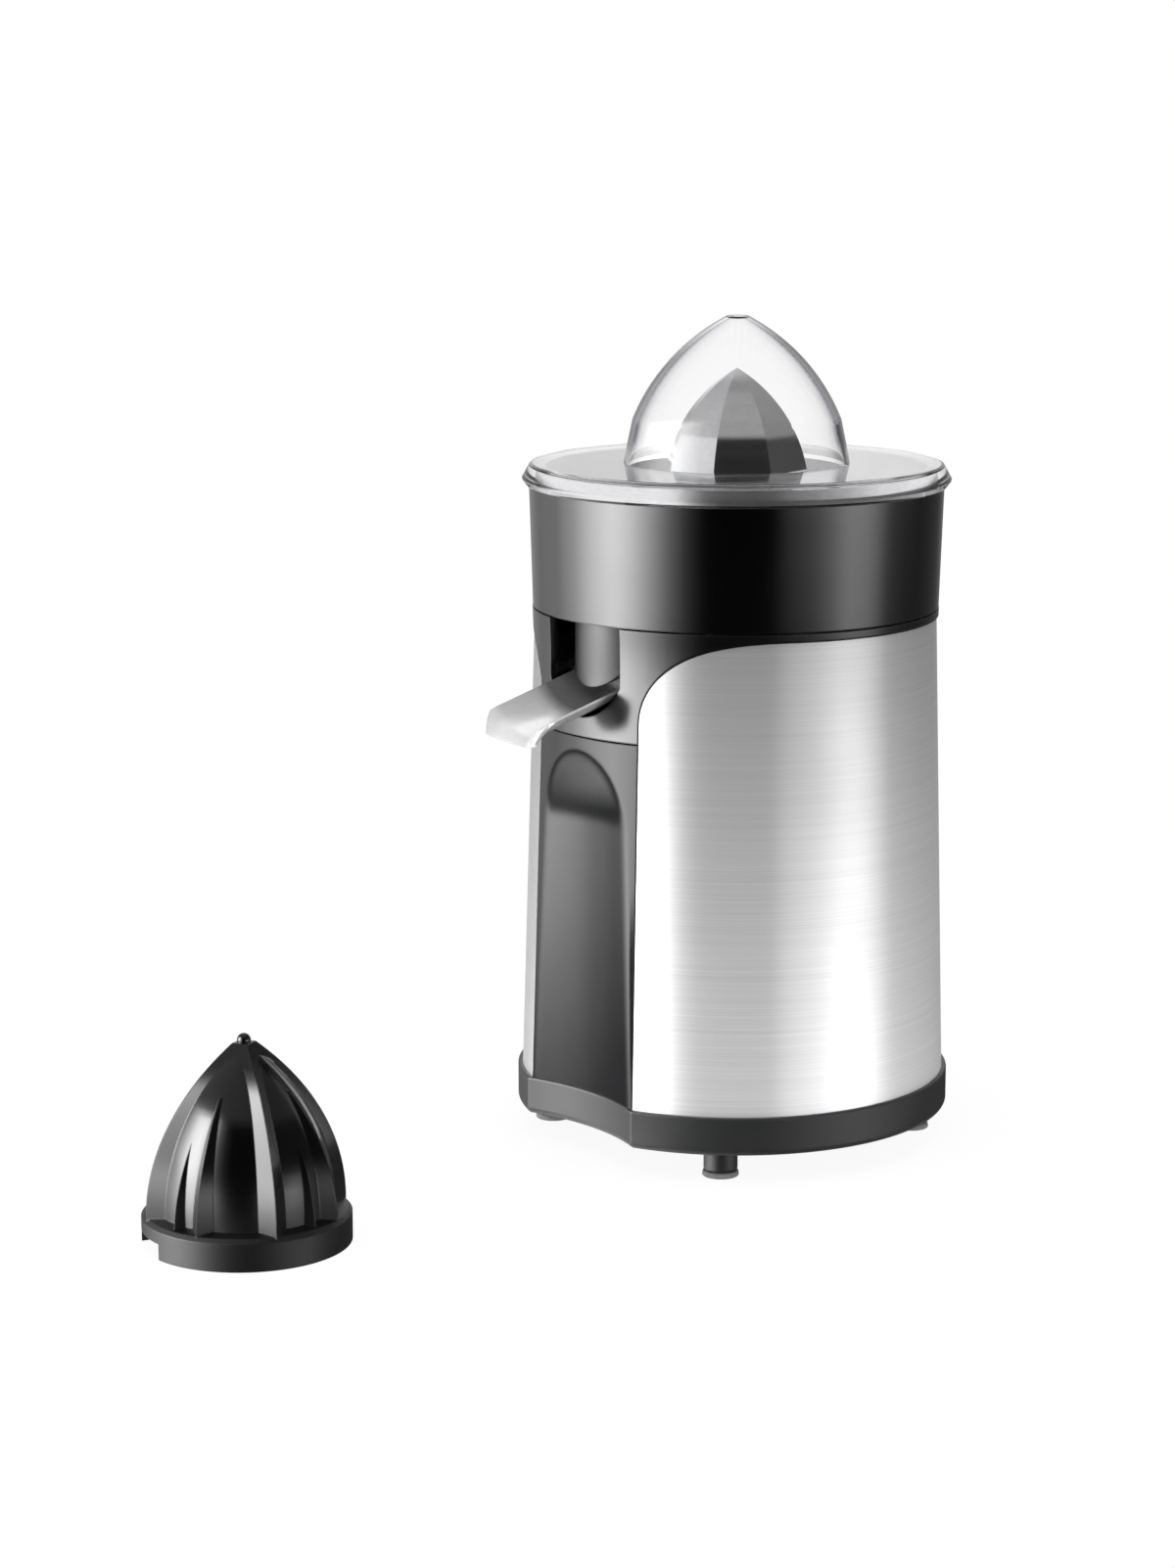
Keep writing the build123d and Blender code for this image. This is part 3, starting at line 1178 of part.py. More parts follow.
# Shaft bush in the deck's boss, with a rubber seal over it and a washer that takes the spring's thrust
with BuildPart() as shaft_bush:
    with BuildSketch(Plane.XY.offset(boss_bottom)):
        Circle(BUSH_RADIUS)
        Circle(SHAFT_RADIUS + RUNNING_GAP, mode=Mode.SUBTRACT)
    extrude(amount=boss_top - SEAL_HEIGHT - boss_bottom)
shaft_bush.part.label = "shaft_bush"
export_step(shaft_bush.part, "parts/shaft_bush.step")

with BuildPart() as shaft_seal:
    with BuildSketch(Plane.XY.offset(boss_top - SEAL_HEIGHT)):
        Circle(BUSH_RADIUS)
        Circle(SHAFT_RADIUS + RUNNING_GAP, mode=Mode.SUBTRACT)
    extrude(amount=SEAL_HEIGHT)
shaft_seal.part.label = "shaft_seal"
export_step(shaft_seal.part, "parts/shaft_seal.step")

with BuildPart() as thrust_washer:
    with BuildSketch(Plane.XY.offset(boss_bottom - THRUST_WASHER_HEIGHT)):
        Circle(THRUST_WASHER_RADIUS)
        Circle(SHAFT_RADIUS + SLIP_GAP, mode=Mode.SUBTRACT)
    extrude(amount=THRUST_WASHER_HEIGHT)
thrust_washer.part.label = "thrust_washer"
export_step(thrust_washer.part, "parts/thrust_washer.step")

# Output gear on the drive shaft
with BuildPart() as output_gear:
    with BuildSketch(Plane.XY.offset(output_gear_bottom)):
        with BuildLine():
            teeth = gear_outline(WHEEL_TEETH, WHEEL_ADDENDUM, wheel_dedendum, 90 + half_tooth_turn, (0, 0))
            Polyline(*teeth, close=True)
        make_face()
        Circle(SHAFT_RADIUS + SEAT_GAP, mode=Mode.SUBTRACT)
    extrude(amount=OUTPUT_GEAR_WIDTH)
output_gear.part.label = "output_gear"
export_step(output_gear.part, "parts/output_gear.step")

# Idler: a wide wheel driven by the motor and a long pinion that drives the output gear
idler_wheel_bottom = pinion_bottom + (PINION_WIDTH - IDLER_GEAR_WIDTH) / 2
with BuildPart() as idler_gear:
    with BuildSketch(Plane.XY.offset(idler_wheel_bottom)):
        with BuildLine():
            wheel = gear_outline(
                WHEEL_TEETH, WHEEL_ADDENDUM, wheel_dedendum, 270 + half_tooth_turn, idler_centre
            )
            Polyline(*wheel, close=True)
        make_face()
    extrude(amount=IDLER_GEAR_WIDTH)
    with BuildSketch(Plane.XY.offset(plate_top + AXIAL_PLAY)):
        with BuildLine():
            pinion = gear_outline(PINION_TEETH, PINION_ADDENDUM, pinion_dedendum, 270, idler_centre)
            Polyline(*pinion, close=True)
        make_face()
    extrude(amount=boss_bottom - AXIAL_PLAY - plate_top - AXIAL_PLAY)
    with BuildSketch(Plane.XY.offset(plate_top)):
        with Locations(idler_centre):
            Circle(AXLE_RADIUS + RUNNING_GAP)
    extrude(amount=boss_bottom - plate_top, mode=Mode.SUBTRACT)
idler_gear.part.label = "idler_gear"
export_step(idler_gear.part, "parts/idler_gear.step")

with BuildPart() as idler_axle:
    with BuildSketch(Plane.XY.offset(plate_bottom)):
        with Locations(idler_centre):
            Circle(AXLE_RADIUS)
    extrude(amount=boss_bottom + AXLE_BITE - plate_bottom)
idler_axle.part.label = "idler_axle"
export_step(idler_axle.part, "parts/idler_axle.step")

# Motor pinion
with BuildPart() as motor_pinion:
    with BuildSketch(Plane.XY.offset(pinion_bottom)):
        with BuildLine():
            pinion = gear_outline(PINION_TEETH, PINION_ADDENDUM, pinion_dedendum, 90, (0, 0))
            Polyline(*pinion, close=True)
        make_face()
        Circle(MOTOR_SHAFT_RADIUS + SEAT_GAP, mode=Mode.SUBTRACT)
    extrude(amount=PINION_WIDTH)
motor_pinion.part.label = "motor_pinion"
export_step(motor_pinion.part, "parts/motor_pinion.step")

# Press plate: pushed down by the gear, guided by two legs, with a tab over the switch button
with BuildPart() as press_plate:
    with BuildSketch(Plane.XY.offset(press_plate_bottom)):
        Circle(PRESS_PLATE_RADIUS)
        with Locations((0, -SWITCH_SETBACK)):
            Rectangle(2 * PRESS_TAB_HALF_WIDTH, 2 * PRESS_TAB_HALF_WIDTH)
        with Locations((0, -SWITCH_SETBACK / 2)):
            Rectangle(2 * PRESS_TAB_HALF_WIDTH, SWITCH_SETBACK)
        Circle(JOURNAL_RADIUS + SLIP_GAP, mode=Mode.SUBTRACT)
    extrude(amount=PRESS_PLATE_HEIGHT)
    with BuildSketch(Plane.XY.offset(press_plate_bottom)):
        with GridLocations(2 * PRESS_LEG_REACH, 0, 2, 1):
            Circle(PRESS_LEG_RADIUS)
    extrude(amount=-SPRING_HEIGHT - BRIDGE_THICKNESS + PRESS_TRAVEL / 2)
press_plate.part.label = "press_plate"
export_step(press_plate.part, "parts/press_plate.step")

# Bridge plate: carries the shaft's lower journal, the return spring and the switch
with BuildPart() as bridge_plate:
    with BuildSketch(Plane.XY.offset(bridge_bottom)):
        Circle(BRIDGE_RADIUS)
        with PolarLocations(
            bridge_ear_circle, BRIDGE_EAR_COUNT, BRIDGE_EAR_START_ANGLE, BRIDGE_EAR_RANGE, endpoint=True
        ):
            Circle(BRIDGE_EAR_RADIUS)
        make_hull()
    extrude(amount=BRIDGE_THICKNESS)
    with BuildSketch(Plane.XY.offset(bridge_bottom)):
        Circle(BRIDGE_BUSH_RADIUS)
    extrude(amount=BRIDGE_THICKNESS + BRIDGE_BUSH_RISE)
    with BuildSketch(Plane.XY.offset(bridge_bottom)):
        Circle(JOURNAL_RADIUS + RUNNING_GAP)
        with GridLocations(2 * PRESS_LEG_REACH, 0, 2, 1):
            Circle(PRESS_LEG_RADIUS + RUNNING_GAP)
        with PolarLocations(
            bridge_ear_circle, BRIDGE_EAR_COUNT, BRIDGE_EAR_START_ANGLE, BRIDGE_EAR_RANGE, endpoint=True
        ):
            Circle(SCREW_RADIUS + SEAT_GAP)
    extrude(amount=BRIDGE_THICKNESS + BRIDGE_BUSH_RISE, mode=Mode.SUBTRACT)
bridge_plate.part.label = "bridge_plate"
export_step(bridge_plate.part, "parts/bridge_plate.step")

with BuildPart() as bridge_spacers:
    with BuildSketch(Plane.XY.offset(plate_top)):
        with PolarLocations(
            bridge_ear_circle, BRIDGE_EAR_COUNT, BRIDGE_EAR_START_ANGLE, BRIDGE_EAR_RANGE, endpoint=True
        ):
            Circle(SPACER_RADIUS)
            Circle(SCREW_RADIUS + SEAT_GAP, mode=Mode.SUBTRACT)
    extrude(amount=SPACER_HEIGHT)
bridge_spacers.part.label = "bridge_spacers"
export_step(bridge_spacers.part, "parts/bridge_spacers.step")

with BuildPart() as bridge_screws:
    with BuildSketch(Plane.XY.offset(plate_bottom)):
        with PolarLocations(
            bridge_ear_circle, BRIDGE_EAR_COUNT, BRIDGE_EAR_START_ANGLE, BRIDGE_EAR_RANGE, endpoint=True
        ):
            Circle(SCREW_RADIUS)
    extrude(amount=bridge_top - plate_bottom)
    with BuildSketch(Plane.XY.offset(bridge_top)):
        with PolarLocations(
            bridge_ear_circle, BRIDGE_EAR_COUNT, BRIDGE_EAR_START_ANGLE, BRIDGE_EAR_RANGE, endpoint=True
        ):
            Circle(SCREW_HEAD_RADIUS)
    extrude(amount=SCREW_HEAD_HEIGHT)
bridge_screws.part.label = "bridge_screws"
export_step(bridge_screws.part, "parts/bridge_screws.step")

# Return spring: a sleeve the size of the spring's wire, hidden between bridge and press plate
with BuildPart() as return_spring:
    with BuildSketch(Plane.XY.offset(bridge_top)):
        Circle(SPRING_RADIUS + SPRING_WIRE)
        Circle(SPRING_RADIUS - SPRING_WIRE, mode=Mode.SUBTRACT)
    extrude(amount=SPRING_HEIGHT)
return_spring.part.label = "return_spring"
export_step(return_spring.part, "parts/return_spring.step")

# Micro switch on the bridge, with its button under the press plate's tab
with BuildPart() as micro_switch:
    with BuildSketch(Plane.XY.offset(bridge_top)):
        with Locations((0, -SWITCH_SETBACK)):
            Rectangle(SWITCH_LENGTH, SWITCH_WIDTH)
    extrude(amount=SWITCH_HEIGHT)
    with BuildSketch(Plane.XY.offset(bridge_top + SWITCH_HEIGHT)):
        with Locations((0, -SWITCH_SETBACK)):
            Circle(BUTTON_RADIUS + RUNNING_GAP)
    extrude(amount=-BUTTON_BITE - PRESS_TRAVEL - SLIP_GAP, mode=Mode.SUBTRACT)
micro_switch.part.label = "micro_switch"
export_step(micro_switch.part, "parts/micro_switch.step")

with BuildPart() as switch_button:
    with BuildSketch(Plane.XY.offset(press_plate_bottom)):
        with Locations((0, -SWITCH_SETBACK)):
            Circle(BUTTON_RADIUS)
    extrude(amount=-(SPRING_HEIGHT - SWITCH_HEIGHT) - BUTTON_BITE)
switch_button.part.label = "switch_button"
export_step(switch_button.part, "parts/switch_button.step")

# Gear plate: screwed under the collar's posts, carries the motor, the bridge and the idler's axle
with BuildPart() as gear_plate:
    with BuildSketch(Plane.XY.offset(plate_bottom)):
        Circle(plate_radius)
        Circle(MOTOR_BUSH_RADIUS + SEAT_GAP, mode=Mode.SUBTRACT)
        with Locations(idler_centre):
            Circle(AXLE_RADIUS + SEAT_GAP, mode=Mode.SUBTRACT)
        with PolarLocations(post_circle, POST_COUNT, start_angle=POST_START_ANGLE):
            Circle(SCREW_RADIUS + SEAT_GAP, mode=Mode.SUBTRACT)
        with PolarLocations(
            bridge_ear_circle, BRIDGE_EAR_COUNT, BRIDGE_EAR_START_ANGLE, BRIDGE_EAR_RANGE, endpoint=True
        ):
            Circle(SCREW_RADIUS + SEAT_GAP, mode=Mode.SUBTRACT)
        with GridLocations(2 * MOTOR_BOLT_REACH, 2 * MOTOR_BOLT_REACH, 2, 2):
            Circle(MOTOR_BOLT_RADIUS + SEAT_GAP, mode=Mode.SUBTRACT)
    extrude(amount=PLATE_THICKNESS)
gear_plate.part.label = "gear_plate"
export_step(gear_plate.part, "parts/gear_plate.step")

with BuildPart() as plate_screws:
    with BuildSketch(Plane.XY.offset(plate_bottom)):
        with PolarLocations(post_circle, POST_COUNT, start_angle=POST_START_ANGLE):
            Circle(SCREW_RADIUS)
    extrude(amount=PLATE_THICKNESS + SCREW_DEPTH - SLIP_GAP)
    with BuildSketch(Plane.XY.offset(plate_bottom)):
        with PolarLocations(post_circle, POST_COUNT, start_angle=POST_START_ANGLE):
            Circle(SCREW_HEAD_RADIUS)
    extrude(amount=-SCREW_HEAD_HEIGHT)
plate_screws.part.label = "plate_screws"
export_step(plate_screws.part, "parts/plate_screws.step")

# Motor: laminated stator with end windings, held by four bolts between gear plate and lower bracket
with BuildPart() as motor_stator:
    with BuildSketch(Plane.XY.offset(stator_bottom)):
        RectangleRounded(STATOR_SIDE, STATOR_SIDE, STATOR_CORNER)
        Circle(ROTOR_RADIUS + AIR_GAP, mode=Mode.SUBTRACT)
        with GridLocations(2 * MOTOR_BOLT_REACH, 2 * MOTOR_BOLT_REACH, 2, 2):
            Circle(MOTOR_BOLT_RADIUS + SEAT_GAP, mode=Mode.SUBTRACT)
    extrude(amount=STACK_HEIGHT)
motor_stator.part.label = "motor_stator"
export_step(motor_stator.part, "parts/motor_stator.step")

with BuildPart() as motor_windings:
    for winding_bottom in (stator_top, stator_bottom - WINDING_HEIGHT):
        with BuildSketch(Plane.XY.offset(winding_bottom)):
            Circle(WINDING_OUTER_RADIUS)
            Circle(WINDING_INNER_RADIUS, mode=Mode.SUBTRACT)
        extrude(amount=WINDING_HEIGHT)
motor_windings.part.label = "motor_windings"
export_step(motor_windings.part, "parts/motor_windings.step")

with BuildPart() as motor_spacers:
    with BuildSketch(Plane.XY.offset(stator_top)):
        with GridLocations(2 * MOTOR_BOLT_REACH, 2 * MOTOR_BOLT_REACH, 2, 2):
            Circle(MOTOR_SPACER_RADIUS)
            Circle(MOTOR_BOLT_RADIUS + SEAT_GAP, mode=Mode.SUBTRACT)
    extrude(amount=MOTOR_TOP_SPACE)
motor_spacers.part.label = "motor_spacers"
export_step(motor_spacers.part, "parts/motor_spacers.step")

with BuildPart() as motor_bracket:
    bar_length = 2 * math.sqrt(2) * MOTOR_BOLT_REACH + BRACKET_BAR_WIDTH
    with BuildSketch(Plane.XY.offset(bracket_bottom)):
        for turn in (45, 135):
            SlotOverall(bar_length, BRACKET_BAR_WIDTH, rotation=turn)
        Circle(BRACKET_HUB_RADIUS)
    extrude(amount=BRACKET_THICKNESS)
    with BuildSketch(Plane.XY.offset(bracket_top)):
        with GridLocations(2 * MOTOR_BOLT_REACH, 2 * MOTOR_BOLT_REACH, 2, 2):
            Circle(MOTOR_SPACER_RADIUS)
    extrude(amount=BRACKET_SPACE)
    with BuildSketch(Plane.XY.offset(bracket_bottom)):
        Circle(MOTOR_BUSH_RADIUS + SEAT_GAP)
        with GridLocations(2 * MOTOR_BOLT_REACH, 2 * MOTOR_BOLT_REACH, 2, 2):
            Circle(MOTOR_BOLT_RADIUS + SEAT_GAP)
    extrude(amount=BRACKET_THICKNESS + BRACKET_SPACE, mode=Mode.SUBTRACT)
motor_bracket.part.label = "motor_bracket"
export_step(motor_bracket.part, "parts/motor_bracket.step")

with BuildPart() as motor_bolts:
    with BuildSketch(Plane.XY.offset(bracket_bottom)):
        with GridLocations(2 * MOTOR_BOLT_REACH, 2 * MOTOR_BOLT_REACH, 2, 2):
            Circle(MOTOR_BOLT_RADIUS)
    extrude(amount=plate_top - bracket_bottom)
    with BuildSketch(Plane.XY.offset(bracket_bottom)):
        with GridLocations(2 * MOTOR_BOLT_REACH, 2 * MOTOR_BOLT_REACH, 2, 2):
            RegularPolygon(MOTOR_BOLT_HEAD_RADIUS, 6)
    extrude(amount=-MOTOR_BOLT_HEAD_HEIGHT)
motor_bolts.part.label = "motor_bolts"
export_step(motor_bolts.part, "parts/motor_bolts.step")

# Motor bushes in the gear plate and in the lower bracket
with BuildPart() as upper_motor_bush:
    with BuildSketch(Plane.XY.offset(pinion_bottom - AXIAL_PLAY)):
        Circle(MOTOR_BUSH_RADIUS)
        Circle(MOTOR_SHAFT_RADIUS + RUNNING_GAP, mode=Mode.SUBTRACT)
    extrude(amount=-MOTOR_BUSH_HEIGHT)
upper_motor_bush.part.label = "upper_motor_bush"
export_step(upper_motor_bush.part, "parts/upper_motor_bush.step")

with BuildPart() as lower_motor_bush:
    with BuildSketch(Plane.XY.offset(bracket_bottom)):
        Circle(MOTOR_BUSH_RADIUS)
        Circle(MOTOR_SHAFT_RADIUS + RUNNING_GAP, mode=Mode.SUBTRACT)
    extrude(amount=MOTOR_BUSH_HEIGHT)
lower_motor_bush.part.label = "lower_motor_bush"
export_step(lower_motor_bush.part, "parts/lower_motor_bush.step")

# Rotor: laminated core, shaft and cooling fan
with BuildPart() as motor_rotor:
    with BuildSketch(Plane.XY.offset(stator_bottom)):
        Circle(ROTOR_RADIUS)
        Circle(MOTOR_SHAFT_RADIUS + SEAT_GAP, mode=Mode.SUBTRACT)
    extrude(amount=STACK_HEIGHT)
motor_rotor.part.label = "motor_rotor"
export_step(motor_rotor.part, "parts/motor_rotor.step")

with BuildPart() as motor_shaft:
    with BuildSketch(Plane.XY.offset(fan_bottom - SHAFT_TAIL)):
        Circle(MOTOR_SHAFT_RADIUS)
    extrude(amount=pinion_top - fan_bottom + SHAFT_TAIL)
motor_shaft.part.label = "motor_shaft"
export_step(motor_shaft.part, "parts/motor_shaft.step")

with BuildPart() as cooling_fan:
    with BuildSketch(Plane.XY.offset(fan_top)):
        Circle(FAN_RADIUS)
    extrude(amount=-FAN_DISC)
    with BuildSketch(Plane.XY.offset(fan_top)):
        Circle(FAN_HUB_RADIUS)
        blade_length = FAN_RADIUS - FAN_HUB_RADIUS + FAN_BLADE_THICKNESS
        with PolarLocations((FAN_RADIUS + FAN_HUB_RADIUS - FAN_BLADE_THICKNESS) / 2, FAN_BLADES):
            Rectangle(blade_length, FAN_BLADE_THICKNESS)
    extrude(amount=-FAN_HEIGHT)
    with BuildSketch(Plane.XY.offset(fan_top)):
        Circle(MOTOR_SHAFT_RADIUS + SEAT_GAP)
    extrude(amount=-FAN_HEIGHT, mode=Mode.SUBTRACT)
cooling_fan.part.label = "cooling_fan"
export_step(cooling_fan.part, "parts/cooling_fan.step")
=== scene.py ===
import math

import bmesh
import bpy
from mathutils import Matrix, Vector


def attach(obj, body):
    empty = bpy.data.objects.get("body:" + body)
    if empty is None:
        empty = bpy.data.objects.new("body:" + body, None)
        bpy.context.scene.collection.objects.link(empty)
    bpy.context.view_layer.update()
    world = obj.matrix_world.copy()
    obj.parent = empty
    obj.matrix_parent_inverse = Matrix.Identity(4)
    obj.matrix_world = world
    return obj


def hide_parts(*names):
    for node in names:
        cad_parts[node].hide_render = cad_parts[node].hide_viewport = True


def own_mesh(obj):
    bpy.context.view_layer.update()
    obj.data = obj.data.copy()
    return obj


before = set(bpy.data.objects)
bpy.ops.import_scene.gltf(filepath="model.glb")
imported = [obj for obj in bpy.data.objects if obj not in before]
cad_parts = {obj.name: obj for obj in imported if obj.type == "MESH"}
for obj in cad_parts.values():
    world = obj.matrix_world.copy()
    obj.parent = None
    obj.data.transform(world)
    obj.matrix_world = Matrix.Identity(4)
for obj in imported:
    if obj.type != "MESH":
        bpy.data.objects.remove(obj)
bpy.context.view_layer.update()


# ---------------------------------------------------------------------------------------------
# Base tray: a shallow tray moulded in black ABS with the fine grain of a spark-eroded mould.
# It carries the shell and the front panel in a rim, and four long bolts tie the collar to it.
MM = 0.001
NOISE_SPAN = (0.3, 0.7)
NOISE_DETAIL = 3.0
PLASTIC_GRAIN = 0.45 * MM
GRAIN_DEPTH = 0.02 * MM
GRAIN_DETAIL = 2.0
PLASTIC_CLOUDS = 28.0
PLASTIC_SHINE = 0.5
PLASTIC_SPREAD = 0.08
ARRIS = 0.7 * MM
BASE_DARK = (0.013, 0.0133, 0.0142, 1.0)
BASE_LIGHT = (0.018, 0.0184, 0.0195, 1.0)
BASE_ROUGHNESS = 0.42
BASE_SHINE = 0.45


def new_material(name):
    """A new node material with its tree and its Principled shader."""
    material = bpy.data.materials.new(name)
    material.use_nodes = True
    return material, material.node_tree, material.node_tree.nodes["Principled BSDF"]


def add(tree, kind, inputs=(), **settings):
    """A new node with its settings; inputs, by name or number, are values or outputs to link."""
    node = tree.nodes.new(kind)
    for name, value in settings.items():
        setattr(node, name, value)
    for name, value in dict(inputs).items():
        if isinstance(value, bpy.types.NodeSocket):
            tree.links.new(value, node.inputs[name])
        else:
            node.inputs[name].default_value = value
    return node


def noise(tree, place, scale, detail=NOISE_DETAIL):
    """The value of a noise texture of this scale at place."""
    look = {"Vector": place, "Scale": scale, "Detail": detail}
    return add(tree, "ShaderNodeTexNoise", look).outputs["Fac"]


def ramp(tree, factor, stops):
    """The colour of a ramp over factor, whose stops are (place, colour)."""
    node = add(tree, "ShaderNodeValToRGB", {"Fac": factor})
    elements = node.color_ramp.elements
    while len(elements) < len(stops):
        elements.new(1.0)
    for element, (place, colour) in zip(elements, stops):
        element.position = place
        element.color = colour
    return node.outputs["Color"]


def spread(tree, value, low, high, start=NOISE_SPAN[0], end=NOISE_SPAN[1]):
    """The value, stretched from start..end to low..high."""
    span = {"Value": value, "From Min": start, "From Max": end, "To Min": low, "To Max": high}
    return add(tree, "ShaderNodeMapRange", span).outputs["Result"]


def uneven(tree, clouds, roughness, part):
    """Roughness that varies with the clouds by this part of itself, up and down."""
    return spread(tree, clouds, roughness * (1.0 - part), roughness * (1.0 + part))


def moulded(
    name, dark, light, roughness, grain=PLASTIC_GRAIN, depth=GRAIN_DEPTH, shine=PLASTIC_SHINE
):
    """Moulded plastic: clouds in colour and gloss, a mould grain, and arrises that catch light."""
    material, tree, shader = new_material(name)
    place = add(tree, "ShaderNodeTexCoord").outputs["Object"]
    clouds = noise(tree, place, PLASTIC_CLOUDS)
    specks = noise(tree, place, 1.0 / grain, GRAIN_DETAIL)
    worn = add(tree, "ShaderNodeBevel", {"Radius": ARRIS}).outputs["Normal"]
    bump = add(tree, "ShaderNodeBump", {"Height": specks, "Distance": depth, "Normal": worn})
    colour = ramp(tree, clouds, list(zip(NOISE_SPAN, (dark, light))))
    tree.links.new(colour, shader.inputs["Base Color"])
    tree.links.new(uneven(tree, clouds, roughness, PLASTIC_SPREAD), shader.inputs["Roughness"])
    tree.links.new(bump.outputs["Normal"], shader.inputs["Normal"])
    shader.inputs["Specular IOR Level"].default_value = shine
    return material


def paint(material, *names):
    """Give CAD nodes this material."""
    for name in names:
        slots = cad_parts[name].data.materials
        slots.clear()
        slots.append(material)


paint(moulded("base_grain", BASE_DARK, BASE_LIGHT, BASE_ROUGHNESS, shine=BASE_SHINE), "base")


# ---------------------------------------------------------------------------------------------
# Feet: four short posts moulded in black plastic, pressed into the base by a peg, each on a
# flared pad of grey rubber that keeps the press from creeping on a worktop.
FOOT_COUNT = 4
FOOT_CIRCLE = 73.5
FOOT_START = math.radians(45.0)
POST_RADIUS = 6.7
POST_BOTTOM = 2.2
POST_TOP = 11.4
POST_EASE = 0.8
POST_FOOT_EASE = 0.2
POST_ROUGHNESS = 0.42
PAD_RADIUS = 7.2
PAD_NECK = 6.9
PAD_EASE = 0.7
PAD_ROUGHNESS = 0.75
PAD_GRAIN = 0.3 * MM
PAD_GRAIN_DEPTH = 0.05 * MM
LATHE_STEPS = 48
EASE_STEPS = 5
EASE_LIMIT = 0.49
SHARP = 35.0
WELD = 0.002 * MM
POST_DARK = (0.010, 0.010, 0.011, 1.0)
POST_LIGHT = (0.016, 0.016, 0.017, 1.0)
PAD_DARK = (0.13, 0.13, 0.13, 1.0)
PAD_LIGHT = (0.20, 0.20, 0.195, 1.0)


def eased(corners):
    """Outline through (radius, height, ease) corners in mm, each rounded over its ease at most."""
    points = []
    for place, (radius, height, ease) in enumerate(corners):
        here = Vector((radius, height))
        if not ease:
            points.append(here)
            continue
        back = Vector(corners[place - 1][:2]) - here
        ahead = Vector(corners[(place + 1) % len(corners)][:2]) - here
        start = here + back.normalized() * min(ease, back.length * EASE_LIMIT)
        end = here + ahead.normalized() * min(ease, ahead.length * EASE_LIMIT)
        for step in range(EASE_STEPS + 1):
            share = step / EASE_STEPS
            curve = start * (1 - share) ** 2 + here * 2 * share * (1 - share) + end * share ** 2
            points.append(curve)
    return points


def piece(name, points, faces, *materials, sharp=SHARP):
    """A mesh object of points in mm, smooth but for edges sharper than this angle in degrees."""
    mesh = bpy.data.meshes.new(name)
    mesh.from_pydata([Vector(p) * MM for p in points], [], faces)
    shape = bmesh.new()
    shape.from_mesh(mesh)
    bmesh.ops.remove_doubles(shape, verts=shape.verts, dist=WELD)
    bmesh.ops.recalc_face_normals(shape, faces=shape.faces)
    shape.to_mesh(mesh)
    shape.free()
    mesh.shade_smooth()
    mesh.set_sharp_from_angle(angle=math.radians(sharp))
    for material in materials:
        mesh.materials.append(material)
    made = bpy.data.objects.new(name, mesh)
    bpy.context.scene.collection.objects.link(made)
    return made


def lathe(outline, steps):
    """Points and faces of a closed outline in mm, turned once about Z."""
    points = []
    for ring in range(steps):
        angle = 2 * math.pi * ring / steps
        points += [(p[0] * math.cos(angle), p[0] * math.sin(angle), p[1]) for p in outline]
    count = len(outline)
    faces = []
    for ring in range(steps):
        here, there = ring * count, (ring + 1) % steps * count
        for k in range(count):
            ahead = (k + 1) % count
            faces.append((here + k, there + k, there + ahead, here + ahead))
    return points, faces


def math_node(tree, operation, *values):
    """The result of a maths node on up to three values or outputs."""
    node = add(tree, "ShaderNodeMath", dict(enumerate(values)), operation=operation)
    return node.outputs["Value"]


def ring_tree():
    """Geometry nodes that set copies of a piece in a ring about Z, each turned to face outward."""
    tree = bpy.data.node_groups.new("ring_of_copies", "GeometryNodeTree")
    face = tree.interface
    face.new_socket("Geometry", in_out="INPUT", socket_type="NodeSocketGeometry")
    face.new_socket("Copies", in_out="INPUT", socket_type="NodeSocketInt")
    face.new_socket("Start Angle", in_out="INPUT", socket_type="NodeSocketFloat")
    face.new_socket("Material", in_out="INPUT", socket_type="NodeSocketMaterial")
    face.new_socket("Geometry", in_out="OUTPUT", socket_type="NodeSocketGeometry")
    given = tree.nodes.new("NodeGroupInput").outputs
    points = add(tree, "GeometryNodePoints", {"Count": given["Copies"]})
    index = add(tree, "GeometryNodeInputIndex").outputs["Index"]
    step = math_node(tree, "DIVIDE", 2 * math.pi, given["Copies"])
    angle = math_node(tree, "MULTIPLY_ADD", index, step, given["Start Angle"])
    turn = add(tree, "ShaderNodeCombineXYZ", {"Z": angle})
    euler = add(tree, "FunctionNodeEulerToRotation", {"Euler": turn.outputs["Vector"]})
    rotation = euler.outputs["Rotation"]
    pattern = {"Points": points.outputs[0], "Instance": given["Geometry"], "Rotation": rotation}
    copies = add(tree, "GeometryNodeInstanceOnPoints", pattern).outputs["Instances"]
    solid = add(tree, "GeometryNodeRealizeInstances", {"Geometry": copies}).outputs["Geometry"]
    coat = {"Geometry": solid, "Material": given["Material"]}
    finish = add(tree, "GeometryNodeSetMaterial", coat)
    result = tree.nodes.new("NodeGroupOutput")
    tree.links.new(finish.outputs["Geometry"], result.inputs["Geometry"])
    return tree


ring_of_copies = ring_tree()


def copied_round(source, copies, start, material):
    """Turn source into a plain mesh of copies in a ring, all of one material."""
    modifier = source.modifiers.new("ring", "NODES")
    modifier.node_group = ring_of_copies
    values = {"Copies": copies, "Start Angle": start, "Material": material}
    for item in ring_of_copies.interface.items_tree:
        if item.in_out == "INPUT" and item.name in values:
            modifier[item.identifier] = values[item.name]
    whole = source.evaluated_get(bpy.context.evaluated_depsgraph_get())
    mesh = bpy.data.meshes.new_from_object(whole)
    source.modifiers.remove(modifier)
    source.data = mesh
    return source


